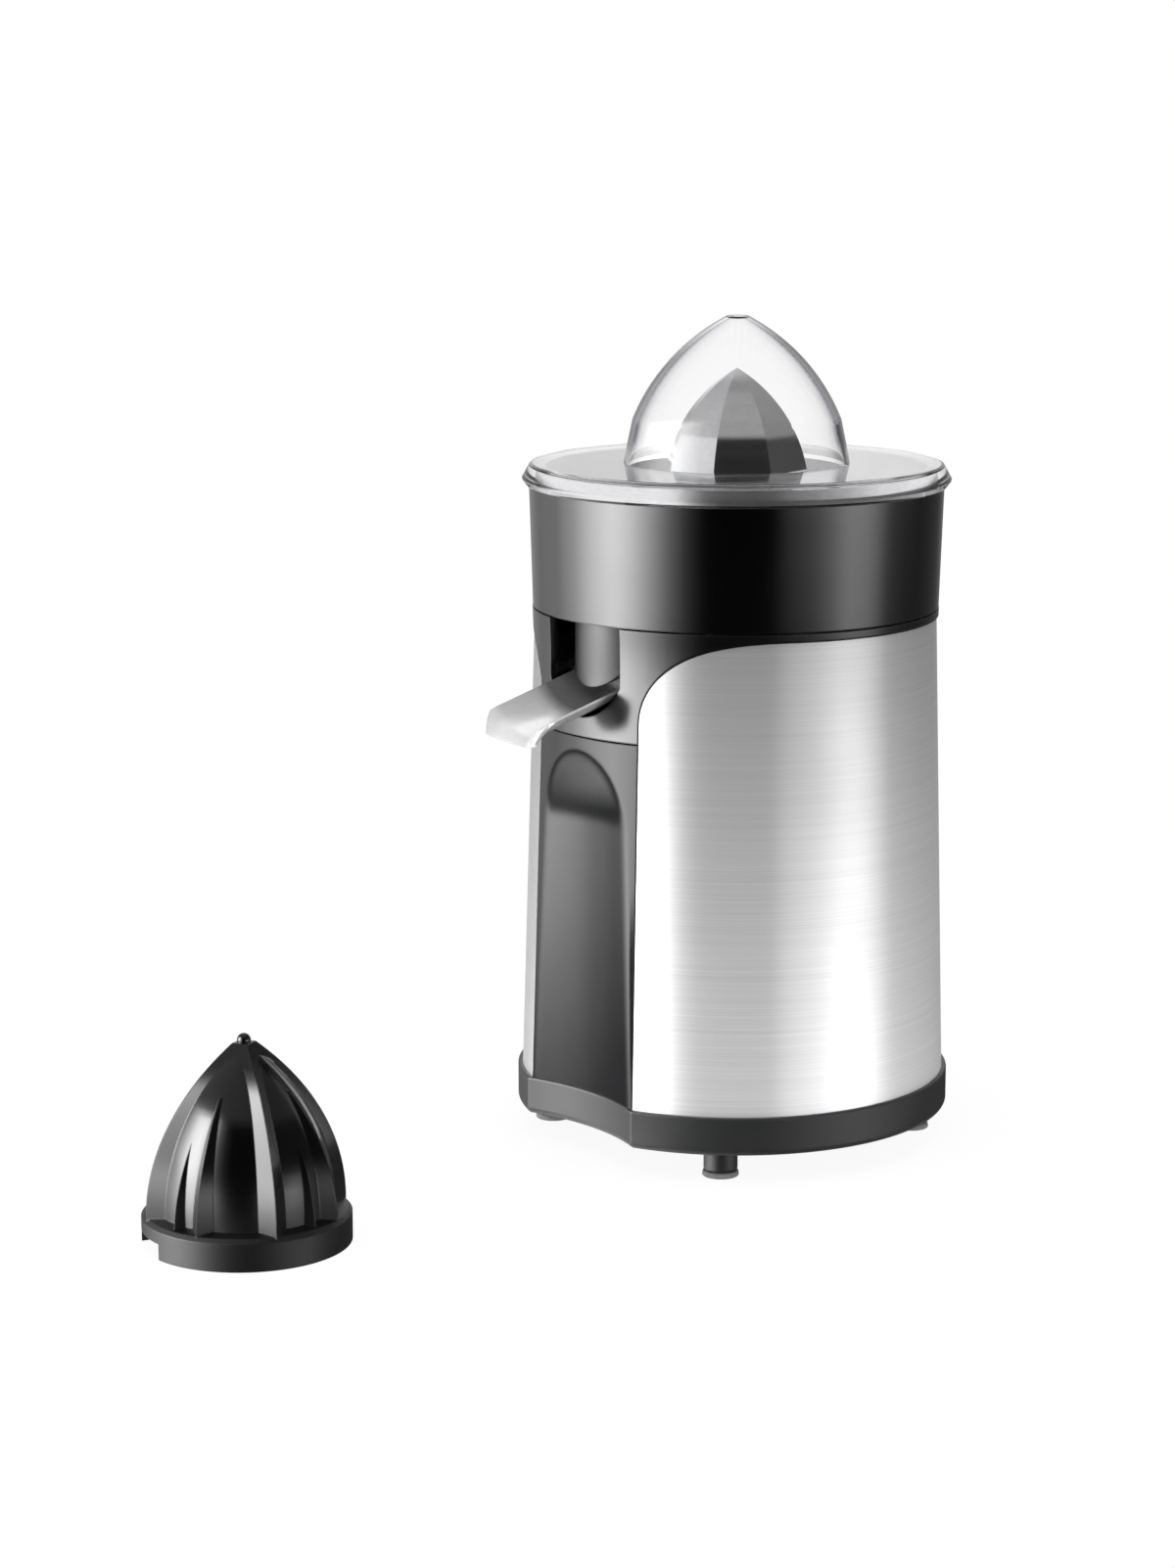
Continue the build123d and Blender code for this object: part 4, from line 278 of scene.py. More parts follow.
def foot_piece(name, corners, material):
    """One turned foot part set out on the foot circle, then copied to all four feet."""
    points, faces = lathe(eased(corners), LATHE_STEPS)
    one = piece(name, [(x + FOOT_CIRCLE, y, z) for x, y, z in points], faces)
    return copied_round(one, FOOT_COUNT, FOOT_START, material)


post_plastic = moulded("post_plastic", POST_DARK, POST_LIGHT, POST_ROUGHNESS)
pad_rubber = moulded("pad_rubber", PAD_DARK, PAD_LIGHT, PAD_ROUGHNESS, PAD_GRAIN, PAD_GRAIN_DEPTH)
posts = foot_piece(
    "foot_posts",
    [
        (0, POST_BOTTOM, 0),
        (POST_RADIUS - POST_EASE, POST_BOTTOM, POST_FOOT_EASE),
        (POST_RADIUS, POST_BOTTOM + POST_EASE, POST_EASE / 2),
        (POST_RADIUS, POST_TOP, 0),
        (0, POST_TOP, 0),
    ],
    post_plastic,
)
pads = foot_piece(
    "foot_pads",
    [
        (0, 0, 0),
        (PAD_RADIUS, 0, PAD_EASE),
        (PAD_RADIUS, POST_BOTTOM / 2, PAD_EASE),
        (PAD_NECK, POST_BOTTOM, PAD_EASE / 2),
        (0, POST_BOTTOM, 0),
    ],
    pad_rubber,
)
for made, stem, slot in ((posts, "foot", "base_plastic"), (pads, "foot_pad", "pad_rubber")):
    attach(made, "housing")
    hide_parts(*(f"{stem}_{number + 1}" for number in range(FOOT_COUNT)))


# ---------------------------------------------------------------------------------------------
# Cord gland: a flanged bush of soft black rubber, dropped into a slot of the base's back wall
# and held down by the shell. A cord would leave the press through its bore.
RUBBER_DARK = (0.012, 0.012, 0.012, 1.0)
RUBBER_LIGHT = (0.022, 0.022, 0.022, 1.0)
RUBBER_ROUGHNESS = 0.6
RUBBER_GRAIN = 0.25 * MM
RUBBER_GRAIN_DEPTH = 0.04 * MM

rubber = moulded(
    "black_rubber", RUBBER_DARK, RUBBER_LIGHT, RUBBER_ROUGHNESS, RUBBER_GRAIN, RUBBER_GRAIN_DEPTH
)
paint(rubber, "cord_gland", "shaft_seal")


# ---------------------------------------------------------------------------------------------
# Steel shell: stainless sheet rolled to a cone, brushed round the machine, and cut away in front
# along two quarter arches. Its edges stand half a millimetre off the black front.
SHELL_BOTTOM = 26.7
SHELL_SHEET = 0.8
HOUSING_LOW = 85.6
HOUSING_HIGH = 80.2
HOUSING_TOP = 214.9
FRONT_LOW = 31.2
FRONT_HIGH = 29.7
ARCH_SPRING = 179.0
ARCH_CENTRE = 72.0
ARCH_REACH = 42.3
ARCH_RISE = 32.5
SHELL_ROWS = 40
ARCH_ROWS = 40
SHELL_COLUMNS = 260
SHELL_EDGE = 0.15
SHELL_EDGE_STEPS = 2
SHELL_EDGE_ANGLE = math.radians(60.0)
SHEET_DARK = (0.84, 0.84, 0.85, 1.0)
SHEET_LIGHT = (0.98, 0.98, 0.99, 1.0)
SHEET_PAINTED_SHADE = ((0.03, 1.0), (0.21, 0.45))
SHEET_METAL = 0.5
SHEET_ROUGHNESS = 0.34
SHEET_STRETCH = 0.85
STREAK_ACROSS = 2600.0
STREAK_ALONG = 7.0
STREAK_DETAIL = 4.0
STREAK_SPAN = (0.25, 0.75)
STREAK_DEPTH = 0.004 * MM
STREAK_STRENGTH = 0.5
STEEL_SPREAD = 0.07


def housing_radius(z):
    """Radius in mm of the tapering housing at height z."""
    share = (z - SHELL_BOTTOM) / (HOUSING_TOP - SHELL_BOTTOM)
    return HOUSING_LOW + (HOUSING_HIGH - HOUSING_LOW) * share


def shell_half_width(z):
    """Half the width in mm of the shell's front cut at height z."""
    if z <= ARCH_SPRING:
        share = (z - SHELL_BOTTOM) / (ARCH_SPRING - SHELL_BOTTOM)
        return FRONT_LOW + (FRONT_HIGH - FRONT_LOW) * share
    rise = min((z - ARCH_SPRING) / ARCH_RISE, 1.0)
    return ARCH_CENTRE - ARCH_REACH * math.sqrt(1.0 - rise * rise)


def brushed(name, colours, roughness, metal=1.0, across=STREAK_ACROSS, along=STREAK_ALONG):
    """Brushed metal whose streaks run level: long in the sheet's plane, fine in height."""
    material, tree, shader = new_material(name)
    place = add(tree, "ShaderNodeTexCoord").outputs["Object"]
    stretch = add(tree, "ShaderNodeMapping", {"Vector": place, "Scale": (along, along, across)})
    streaks = noise(tree, stretch.outputs["Vector"], 1.0, STREAK_DETAIL)
    clouds = noise(tree, place, PLASTIC_CLOUDS)
    relief = {"Height": streaks, "Distance": STREAK_DEPTH, "Strength": STREAK_STRENGTH}
    bump = add(tree, "ShaderNodeBump", relief)
    colour = ramp(tree, streaks, list(zip(STREAK_SPAN, colours)))
    tree.links.new(colour, shader.inputs["Base Color"])
    tree.links.new(uneven(tree, clouds, roughness, STEEL_SPREAD), shader.inputs["Roughness"])
    tree.links.new(bump.outputs["Normal"], shader.inputs["Normal"])
    shader.inputs["Metallic"].default_value = metal
    return material


def shell_piece():
    """The shell's sheet: two walls on rows that follow the front cut, joined at their edges."""
    tall = ARCH_SPRING - SHELL_BOTTOM
    straight = [SHELL_BOTTOM + tall * k / SHELL_ROWS for k in range(SHELL_ROWS)]
    turns = [math.pi / 2 * k / ARCH_ROWS for k in range(ARCH_ROWS + 1)]
    arch = [ARCH_SPRING + ARCH_RISE * math.sin(turn) for turn in turns]
    heights = straight + arch
    points = []
    for inset in (0.0, SHELL_SHEET):
        for z in heights:
            radius = housing_radius(z) - inset
            edge = math.asin(shell_half_width(z) / housing_radius(z))
            for column in range(SHELL_COLUMNS + 1):
                angle = edge + (2 * math.pi - 2 * edge) * column / SHELL_COLUMNS - math.pi / 2
                points.append((radius * math.cos(angle), radius * math.sin(angle), z))
    wide, rows = SHELL_COLUMNS + 1, len(heights)
    inner = wide * rows
    faces = []
    for row in range(rows - 1):
        for column in range(SHELL_COLUMNS):
            a = row * wide + column
            faces.append((a, a + 1, a + wide + 1, a + wide))
            faces.append((inner + a, inner + a + wide, inner + a + wide + 1, inner + a + 1))
        for a, b in ((row * wide, (row + 1) * wide), ((row + 2) * wide - 1, (row + 1) * wide - 1)):
            faces.append((a, b, inner + b, inner + a))
    for column in range(SHELL_COLUMNS):
        low, high = column, (rows - 1) * wide + column
        faces.append((low + 1, low, inner + low, inner + low + 1))
        faces.append((high, high + 1, inner + high + 1, inner + high))
    return piece("shell_sheet", points, faces)


def height_map(made, name):
    """A UV map whose first axis runs up, for a sheen stretched upright across level brushing."""
    mesh = made.data
    layer = mesh.uv_layers.new(name=name)
    for loop in mesh.loops:
        x, y, z = mesh.vertices[loop.vertex_index].co
        layer.data[loop.index].uv = (z, math.atan2(x, y))


shell = shell_piece()
height_map(shell, "upright")
edge = shell.modifiers.new("edge", "BEVEL")
edge.width = SHELL_EDGE * MM
edge.segments = SHELL_EDGE_STEPS
edge.limit_method = "ANGLE"
edge.angle_limit = SHELL_EDGE_ANGLE


def level_along(tree, axis, levels):
    """A level that runs along an object axis between two pairs of (place in m, level)."""
    place = add(tree, "ShaderNodeTexCoord").outputs["Object"]
    along = add(tree, "ShaderNodeSeparateXYZ", {"Vector": place}).outputs[axis]
    (start, start_level), (end, end_level) = levels
    return spread(tree, along, start_level, end_level, start, end)


def mixed(tree, share, first, second, how="MIX"):
    """The colour between two colours or outputs, by share."""
    colours = {"Fac": share, "Color1": first, "Color2": second}
    return add(tree, "ShaderNodeMixRGB", colours, blend_type=how).outputs["Color"]


def shaded(material, axis, levels):
    """Paint shade into the material's colour: darken it along an object axis."""
    tree = material.node_tree
    shader = tree.nodes["Principled BSDF"]
    colour = shader.inputs["Base Color"].links[0].from_socket
    shaded_colour = mixed(tree, 1.0, colour, level_along(tree, axis, levels), "MULTIPLY")
    tree.links.new(shaded_colour, shader.inputs["Base Color"])


def sheet_steel():
    """The shell's brushed steel, satin, with painted shade: its colour darkens upward from the
    foot.
    """
    material = brushed("brushed_shell", (SHEET_DARK, SHEET_LIGHT), SHEET_ROUGHNESS, SHEET_METAL)
    tree = material.node_tree
    shader = tree.nodes["Principled BSDF"]
    shader.inputs["Anisotropic"].default_value = SHEET_STRETCH
    line = add(tree, "ShaderNodeTangent", direction_type="UV_MAP", uv_map="upright")
    tree.links.new(line.outputs["Tangent"], shader.inputs["Tangent"])
    # Painted shade: the steel's colour is darkened towards the top of the shell.
    shaded(material, "Z", SHEET_PAINTED_SHADE)
    return material


shell.data.materials.append(sheet_steel())
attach(shell, "housing")
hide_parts("steel_shell")


# ---------------------------------------------------------------------------------------------
# Front panel: black satin plastic between the steel edges, hollowed by a wide round recess that
# lets a glass stand under the spout and dies out in an arch below the collar.
PANEL_BOTTOM = 26.7
PANEL_TOP = 170.55
PANEL_WALL = 2.6
PANEL_LAP = 4.0
PANEL_LAP_DEPTH = 0.85
PANEL_LOW = 30.7
PANEL_HIGH = 29.2
PANEL_ROWS = 110
PANEL_COLUMNS = 70
RECESS_AXIS = 172.0
RECESS_RADIUS = 96.0
RUNOUT_START = 135.2
RUNOUT_RADIUS = 72.0
RECESS_SOFTNESS = 1.6
LAP_TOLERANCE = 0.001
PANEL_DARK = (0.0120, 0.0123, 0.0132, 1.0)
PANEL_LIGHT = (0.0160, 0.0164, 0.0175, 1.0)
PANEL_ROUGHNESS = 0.13
PANEL_SHINE = 0.21


def soft_max(a, b, width):
    """The larger of two values, blended where they are within width of each other."""
    blend = max(width - abs(a - b), 0.0)
    return max(a, b) + blend * blend / (4.0 * width)


def panel_front(x, z):
    """The y in mm of the panel's face at x and z: the housing's round, dipped into the recess."""
    rounding = -math.sqrt(housing_radius(z) ** 2 - x * x)
    past = max(z - RUNOUT_START, 0.0)
    reach = RECESS_RADIUS - RUNOUT_RADIUS + math.sqrt(RUNOUT_RADIUS ** 2 - past * past)
    hollow = math.sqrt(reach * reach - x * x) - RECESS_AXIS
    return soft_max(rounding, hollow, RECESS_SOFTNESS)


def panel_row(z):
    """Front and back points of the panel at height z, with the lap that goes behind the steel."""
    share = (z - PANEL_BOTTOM) / (ARCH_SPRING - PANEL_BOTTOM)
    half = PANEL_LOW + (PANEL_HIGH - PANEL_LOW) * share
    radius = housing_radius(z) - PANEL_LAP_DEPTH
    front = []
    for column in range(PANEL_COLUMNS + 1):
        x = half * (2.0 * column / PANEL_COLUMNS - 1.0)
        front.append((x, panel_front(x, z), z))
    for side, at in ((1, len(front)), (-1, 0)):
        lap = [(side * x, -math.sqrt(radius * radius - x * x), z) for x in (half, half + PANEL_LAP)]
        front[at:at] = lap if side > 0 else lap[::-1]
    back = []
    for x, y, _ in front:
        lapped = abs(x) > half - LAP_TOLERANCE
        back.append((x, y + PANEL_WALL - (PANEL_LAP_DEPTH if lapped else 0.0), z))
    return front, back


def panel_piece():
    """The panel as a closed wall on level rows."""
    tall = PANEL_TOP - PANEL_BOTTOM
    rows = [panel_row(PANEL_BOTTOM + tall * k / PANEL_ROWS) for k in range(PANEL_ROWS + 1)]
    wide = len(rows[0][0])
    points = [p for front, back in rows for p in front + back]
    faces = []
    for row in range(PANEL_ROWS):
        here, there = row * 2 * wide, (row + 1) * 2 * wide
        for k in range(wide - 1):
            faces.append((here + k, here + k + 1, there + k + 1, there + k))
            back, above = here + wide + k, there + wide + k
            faces.append((back, above, above + 1, back + 1))
        for k in (0, wide - 1):
            faces.append((here + k, there + k, there + wide + k, here + wide + k))
    for start in (0, PANEL_ROWS * 2 * wide):
        for k in range(wide - 1):
            faces.append((start + k, start + k + 1, start + wide + k + 1, start + wide + k))
    satin = moulded("panel_satin", PANEL_DARK, PANEL_LIGHT, PANEL_ROUGHNESS, shine=PANEL_SHINE)
    return piece("panel_wall", points, faces, satin)


panel = panel_piece()
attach(panel, "housing")
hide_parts("front_panel")


# ---------------------------------------------------------------------------------------------
# Collar: the same black plastic, flared to the bowl above, with the spout's slot in front and
# two wings that fill the arches of the steel. A hidden sleeve and deck carry the works.
COLLAR_DARK = (0.0016, 0.0016, 0.0018, 1.0)
COLLAR_LIGHT = (0.0024, 0.0024, 0.0027, 1.0)
COLLAR_ROUGHNESS = 0.2
COLLAR_GRAIN_DEPTH = 0.008 * MM
COLLAR_SHARP = 16.0


def seamless(name, node, body, material, sharp=SHARP):
    """Show a CAD node as one welded mesh, so that its shading runs on across its seams."""
    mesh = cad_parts[node].data
    points = [corner.co / MM for corner in mesh.vertices]
    faces = [face.vertices[:] for face in mesh.polygons]
    made = piece(name, points, faces, material, sharp=sharp)
    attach(made, body)
    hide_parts(node)


collar_satin = moulded(
    "collar_satin", COLLAR_DARK, COLLAR_LIGHT, COLLAR_ROUGHNESS, depth=COLLAR_GRAIN_DEPTH
)
seamless("collar_moulding", "collar", "housing", collar_satin, COLLAR_SHARP)


# ---------------------------------------------------------------------------------------------
# Works inside the housing: an induction motor hung under a pressed plate, a nylon gear train,
# and the sprung plate that starts the motor when fruit is pressed down on the cone.
# Each look is its dark colour, its light colour and its roughness.
ZINC = ((0.42, 0.42, 0.43, 1.0), (0.60, 0.60, 0.62, 1.0), 0.36)
ROD = ((0.16, 0.16, 0.165, 1.0), (0.24, 0.24, 0.245, 1.0), 0.3)
BRONZE = ((0.33, 0.19, 0.08, 1.0), (0.45, 0.27, 0.12, 1.0), 0.4)
NYLON = ((0.62, 0.60, 0.54, 1.0), (0.72, 0.70, 0.64, 1.0), 0.45)
NYLON_GRAIN = 0.8 * MM
BLACK = ((0.014, 0.014, 0.014, 1.0), (0.022, 0.022, 0.022, 1.0), 0.4)
RED = ((0.30, 0.02, 0.02, 1.0), (0.40, 0.03, 0.03, 1.0), 0.4)
FAN = ((0.20, 0.22, 0.24, 1.0), (0.27, 0.29, 0.31, 1.0), 0.45)
STACK = ((0.10, 0.10, 0.11, 1.0), (0.32, 0.32, 0.33, 1.0), 0.5)
STACK_LINES = 1900.0
STACK_STRETCH = (0.01, 0.01, 1.0)
COPPER = ((0.38, 0.11, 0.04, 1.0), (0.70, 0.26, 0.10, 1.0), 0.32)
COPPER_LINES = 1300.0
COPPER_STRETCH = (0.3, 0.3, 1.0)
LAYER_DETAIL = 1.0
LAYER_SPAN = (0.35, 0.65)
LAYER_DEPTH = 0.1 * MM
LAYER_STRENGTH = 0.6
LAYER_SPREAD = 0.2
MARKS_ACROSS = 900.0
MARKS_ALONG = 300.0
SPRING_FOOT = 177.0
SPRING_REACH = 8.0
SPRING_WIRE = 0.5
SPRING_LIFT = 0.05
SPRING_RISE = 6.85
SPRING_TURNS = 4
SPRING_STEPS = 32
SPRING_SIDES = 10


def turned_metal(name, dark, light, roughness, metal=1.0):
    """Plain machined or plated metal with faint marks all over."""
    return brushed(name, (dark, light), roughness, metal, MARKS_ACROSS, MARKS_ALONG)


def layered_metal(name, dark, light, roughness, lines, stretch):
    """Metal in fine layers, as a stack of stampings or a bundle of wire."""
    material, tree, shader = new_material(name)
    place = add(tree, "ShaderNodeTexCoord").outputs["Object"]
    scaled = add(tree, "ShaderNodeMapping", {"Vector": place, "Scale": stretch})
    layers = noise(tree, scaled.outputs["Vector"], lines, LAYER_DETAIL)
    relief = {"Height": layers, "Distance": LAYER_DEPTH, "Strength": LAYER_STRENGTH}
    bump = add(tree, "ShaderNodeBump", relief)
    colour = ramp(tree, layers, list(zip(LAYER_SPAN, (dark, light))))
    tree.links.new(colour, shader.inputs["Base Color"])
    tree.links.new(uneven(tree, layers, roughness, -LAYER_SPREAD), shader.inputs["Roughness"])
    tree.links.new(bump.outputs["Normal"], shader.inputs["Normal"])
    shader.inputs["Metallic"].default_value = 1.0
    return material


zinc = turned_metal("zinc_plate", *ZINC)
bright_steel = turned_metal("bright_steel", *ROD)
bronze = turned_metal("oiled_bronze", *BRONZE)
nylon = moulded("gear_nylon", *NYLON, grain=NYLON_GRAIN)
stack = layered_metal("stamped_stack", *STACK, STACK_LINES, STACK_STRETCH)
wire = layered_metal("wound_copper", *COPPER, COPPER_LINES, COPPER_STRETCH)
paint(zinc, "press_plate", "bridge_plate", "gear_plate", "motor_bracket", "thrust_washer")
paint(zinc, "tie_bolts", "bridge_screws", "plate_screws", "motor_bolts")
paint(zinc, "bridge_spacers", "motor_spacers")
paint(bright_steel, "drive_shaft", "idler_axle", "motor_pinion", "motor_shaft")
paint(bronze, "shaft_bush", "upper_motor_bush", "lower_motor_bush")
paint(nylon, "output_gear", "idler_gear")
paint(moulded("switch_case", *BLACK), "micro_switch")
paint(moulded("switch_knob", *RED), "switch_button")
paint(moulded("fan_plastic", *FAN), "cooling_fan")
paint(stack, "motor_stator", "motor_rotor")
paint(wire, "motor_windings")


def spring_coil():
    """The wire of the return spring, as one closed tube along a helix."""
    steps = SPRING_TURNS * SPRING_STEPS
    points = []
    for step in range(steps + 1):
        turn = 2.0 * math.pi * step / SPRING_STEPS
        middle = SPRING_FOOT + SPRING_LIFT + SPRING_WIRE + SPRING_RISE * step / steps
        for side in range(SPRING_SIDES):
            around = 2.0 * math.pi * side / SPRING_SIDES
            reach = SPRING_REACH + SPRING_WIRE * math.cos(around)
            height = middle + SPRING_WIRE * math.sin(around)
            points.append((reach * math.cos(turn), reach * math.sin(turn), height))
    last = steps * SPRING_SIDES
    faces = [tuple(range(SPRING_SIDES)), tuple(range(last, last + SPRING_SIDES))]
    for step in range(steps):
        for side in range(SPRING_SIDES):
            here = step * SPRING_SIDES + side
            beside = step * SPRING_SIDES + (side + 1) % SPRING_SIDES
            faces.append((here, beside, beside + SPRING_SIDES, here + SPRING_SIDES))
    return piece("spring_coil", points, faces, zinc)


coil = spring_coil()
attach(coil, "housing")
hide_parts("return_spring")
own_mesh(coil)


# ---------------------------------------------------------------------------------------------
# Spout: a gutter pressed from stainless sheet with a rolled lip, painted darker at the rear as a
# painted reflection of the slot. It hangs in the collar on two pins and can be tipped up to stop
# the drip.
SPOUT_DARK = (0.84, 0.84, 0.85, 1.0)
SPOUT_LIGHT = (0.94, 0.94, 0.95, 1.0)
SPOUT_ROUGHNESS = 0.2
SPOUT_METAL = 0.65
SPOUT_PAINTED_REFLECTION = ((-0.088, 1.0), (-0.082, 0.3))

spout_satin = turned_metal("spout_satin", SPOUT_DARK, SPOUT_LIGHT, SPOUT_ROUGHNESS, SPOUT_METAL)
# Painted reflection: the spout's colour is darkened towards the rear, as if mirroring the dark
# slot.
shaded(spout_satin, "Y", SPOUT_PAINTED_REFLECTION)
seamless("spout_gutter", "spout", "spout", spout_satin)


# ---------------------------------------------------------------------------------------------
# Juice bowl: glossy black plastic, lifted off for washing, with a stepped rim for the strainer
# and a duller chute in front that hangs down into the slot and fills the spout.
BOWL_DARK = (0.0006, 0.0006, 0.0007, 1.0)
BOWL_LIGHT = (0.0009, 0.0009, 0.0010, 1.0)
BOWL_ROUGHNESS = 0.17
BOWL_GRAIN_DEPTH = 0.004 * MM
BOWL_SHARP = 16.0
CHUTE_DULLING = ((0.2140, 2.6), (0.2155, 1.0))


def dulled(material, levels):
    """Scale the material's roughness over its height."""
    tree = material.node_tree
    shader = tree.nodes["Principled BSDF"]
    clouds = shader.inputs["Roughness"].links[0].from_socket
    duller = math_node(tree, "MULTIPLY", clouds, level_along(tree, "Z", levels))
    tree.links.new(duller, shader.inputs["Roughness"])


bowl_gloss = moulded("bowl_gloss", BOWL_DARK, BOWL_LIGHT, BOWL_ROUGHNESS, depth=BOWL_GRAIN_DEPTH)
dulled(bowl_gloss, CHUTE_DULLING)
seamless("bowl_moulding", "bowl", "bowl", bowl_gloss, BOWL_SHARP)


# ---------------------------------------------------------------------------------------------
# Strainer: a bright pressed ring hung on the bowl's rim, a floor pierced with forty slots, and a
# raised hub that keeps juice away from the shaft.
STRAINER_ROUGHNESS = 0.24

strainer_steel = turned_metal("strainer_steel", SPOUT_DARK, SPOUT_LIGHT, STRAINER_ROUGHNESS)
paint(strainer_steel, "strainer", "sieve", "strainer_hub")


# ---------------------------------------------------------------------------------------------
# Reaming cone: a pointed, eight-sided cone pressed from polished steel on a black plastic hub
# that drops over the hexagon of the drive shaft.
CONE_DARK = (0.66, 0.66, 0.67, 1.0)
CONE_LIGHT = (0.72, 0.72, 0.73, 1.0)
CONE_ROUGHNESS = 0.09

paint(turned_metal("polished_cone", CONE_DARK, CONE_LIGHT, CONE_ROUGHNESS), "small_cone")
paint(moulded("hub_plastic", *BLACK), "cone_hub")


# ---------------------------------------------------------------------------------------------
# Lid: one clear moulding, a flat cover with a flared skirt and a tall dome over the cone. It lies
# on the strainer's rim and only keeps dust out.
# Its outlines are points of (radius, height) in mm.
LID_STEPS = 192
LID_WALL = 1.8
LID_TOP = 330.1
LID_SHARP = 20.0
DOME_STEPS = 40
DOME_FLANK = 41.4
DOME_POINTS = ((4.0, LID_TOP), (28.3, 310.9), (DOME_FLANK, 289.3))
COVER_OUTSIDE = ((45.0, 272.3), (81.2, 272.3), (82.3, 271.8))
SKIRT = ((85.3, 266.3), (85.1, 265.6), (83.3, 263.3), (82.7, 263.4), (81.2, 270.5))
SEAT = ((80.35, 270.5), (80.35, 269.6), (78.85, 269.6), (78.85, 270.5))
DOME_INSIDE_FOOT = (43.3, 270.5)
RIPPLE_SCALE = 60.0
RIPPLE_DETAIL = 2.0
RIPPLE_DEPTH = 0.02 * MM
RIPPLE_STRENGTH = 0.3
LID_ROUGHNESS = (0.012, 0.03)
LID_INDEX = 1.3
LID_TINT = (0.992, 0.992, 0.996, 1.0)
DOME_EDGE_SHADE = (
    (0.34, (0.995, 0.995, 0.998, 1.0)),
    (0.44, (0.72, 0.71, 0.76, 1.0)),
    (0.53, (0.25, 0.25, 0.29, 1.0)),
    (0.66, (0.02, 0.02, 0.03, 1.0)),
)
DOME_EDGE_SHADE_BLEND = 0.25
DOME_FOOT = (0.274, 0.280)


def arc_through(a, b, c, steps):
    """Points of the circular arc from a through b to c, all (radius, height)."""
    (ax, ay), (bx, by), (cx, cy) = a, b, c
    d = 2 * (ax * (by - cy) + bx * (cy - ay) + cx * (ay - by))
    sa, sb, sc = ax * ax + ay * ay, bx * bx + by * by, cx * cx + cy * cy
    ox = (sa * (by - cy) + sb * (cy - ay) + sc * (ay - by)) / d
    oy = (sa * (cx - bx) + sb * (ax - cx) + sc * (bx - ax)) / d
    radius = math.hypot(ax - ox, ay - oy)
    start = math.atan2(ay - oy, ax - ox)
    turn = (math.atan2(cy - oy, cx - ox) - start + math.pi) % (2 * math.pi) - math.pi
    angles = [start + turn * k / steps for k in range(steps + 1)]
    return [(ox + radius * math.cos(t), oy + radius * math.sin(t)) for t in angles]


def clear_plastic():
    """Clear moulded plastic, faintly uneven, with painted shade where the dome is seen edge on."""
    material, tree, shader = new_material("lid_plastic")
    place = add(tree, "ShaderNodeTexCoord").outputs["Object"]
    ripple = noise(tree, place, RIPPLE_SCALE, RIPPLE_DETAIL)
    height = add(tree, "ShaderNodeSeparateXYZ", {"Vector": place}).outputs["Z"]
    facing = add(tree, "ShaderNodeLayerWeight", {"Blend": DOME_EDGE_SHADE_BLEND}).outputs["Facing"]
    relief = {"Height": ripple, "Distance": RIPPLE_DEPTH, "Strength": RIPPLE_STRENGTH}
    bump = add(tree, "ShaderNodeBump", relief)
    over_foot = spread(tree, height, 0.0, 1.0, *DOME_FOOT)
    # Painted shade: the dome's colour darkens towards its edges as seen, over the cover's plain
    # tint.
    tint_and_edge_shade = mixed(tree, over_foot, LID_TINT, ramp(tree, facing, DOME_EDGE_SHADE))
    tree.links.new(tint_and_edge_shade, shader.inputs["Base Color"])
    tree.links.new(spread(tree, ripple, *LID_ROUGHNESS), shader.inputs["Roughness"])
    tree.links.new(bump.outputs["Normal"], shader.inputs["Normal"])
    shader.inputs["Transmission Weight"].default_value = 1.0
    shader.inputs["IOR"].default_value = LID_INDEX
    return material


dome = arc_through(*DOME_POINTS, DOME_STEPS)
inner_dome = [(r * (1 - LID_WALL / DOME_FLANK), z - LID_WALL) for r, z in dome[::-1]]
outside = [(0.0, LID_TOP), *dome, *COVER_OUTSIDE, *SKIRT]
inside = [*SEAT, DOME_INSIDE_FOOT, *inner_dome, (0.0, LID_TOP - LID_WALL)]
points, faces = lathe(outside + inside, LID_STEPS)
lid = piece("lid_clear", points, faces, clear_plastic(), sharp=LID_SHARP)
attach(lid, "lid")
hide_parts("lid")


# ---------------------------------------------------------------------------------------------
# Large cone: glossy black plastic, moulded hollow, with long ridges to the top and two shorter
# kinds between them. It slips over the steel cone for oranges and stands by itself here.
BIG_DARK = (0.0006, 0.0006, 0.0007, 1.0)
BIG_LIGHT = (0.0010, 0.0010, 0.0011, 1.0)
BIG_ROUGHNESS = 0.15
BIG_GRAIN_DEPTH = 0.004 * MM
BIG_SHARP = 24.0
BIG_DULLING = ((0.012, 3.0), (0.038, 1.0))

cone_gloss = moulded("cone_gloss", BIG_DARK, BIG_LIGHT, BIG_ROUGHNESS, depth=BIG_GRAIN_DEPTH)
dulled(cone_gloss, BIG_DULLING)
seamless(
    "large_cone_moulding", "large_cone", "large_cone", cone_gloss, BIG_SHARP
)


# ---------------------------------------------------------------------------------------------
# Studio: a white floor that runs out into white, a room of soft boxes that only reflections see,
# and three soft lamps. Bands are (bearing in degrees, level); spans are where one zone of the
# room turns into the next, going up.
CAMERA_PLACE = (1.0813, -0.9681, 0.4295)
CAMERA_HEADING = (-0.7716, 0.6361)
CAMERA_DIP = math.radians(11.228)
CAMERA_LENS = 83.95
CAMERA_SENSOR = 36.0
CAMERA_REACH = 50.0
STUDIO_TURN = math.radians(41.8)
FLOOR_REACH = 6.0
FLOOR_WHITE = (0.95, 0.95, 0.95, 1.0)
FLOOR_SHADE = 0.07
FLOOR_SHADE_SPAN = (0.15, 0.6)
WHITE = (1.0, 1.0, 1.0, 1.0)
BLACKOUT = (0.0, 0.0, 0.0, 1.0)
PLAIN_LEVEL = 0.75
BAND_SCALE = 14.0
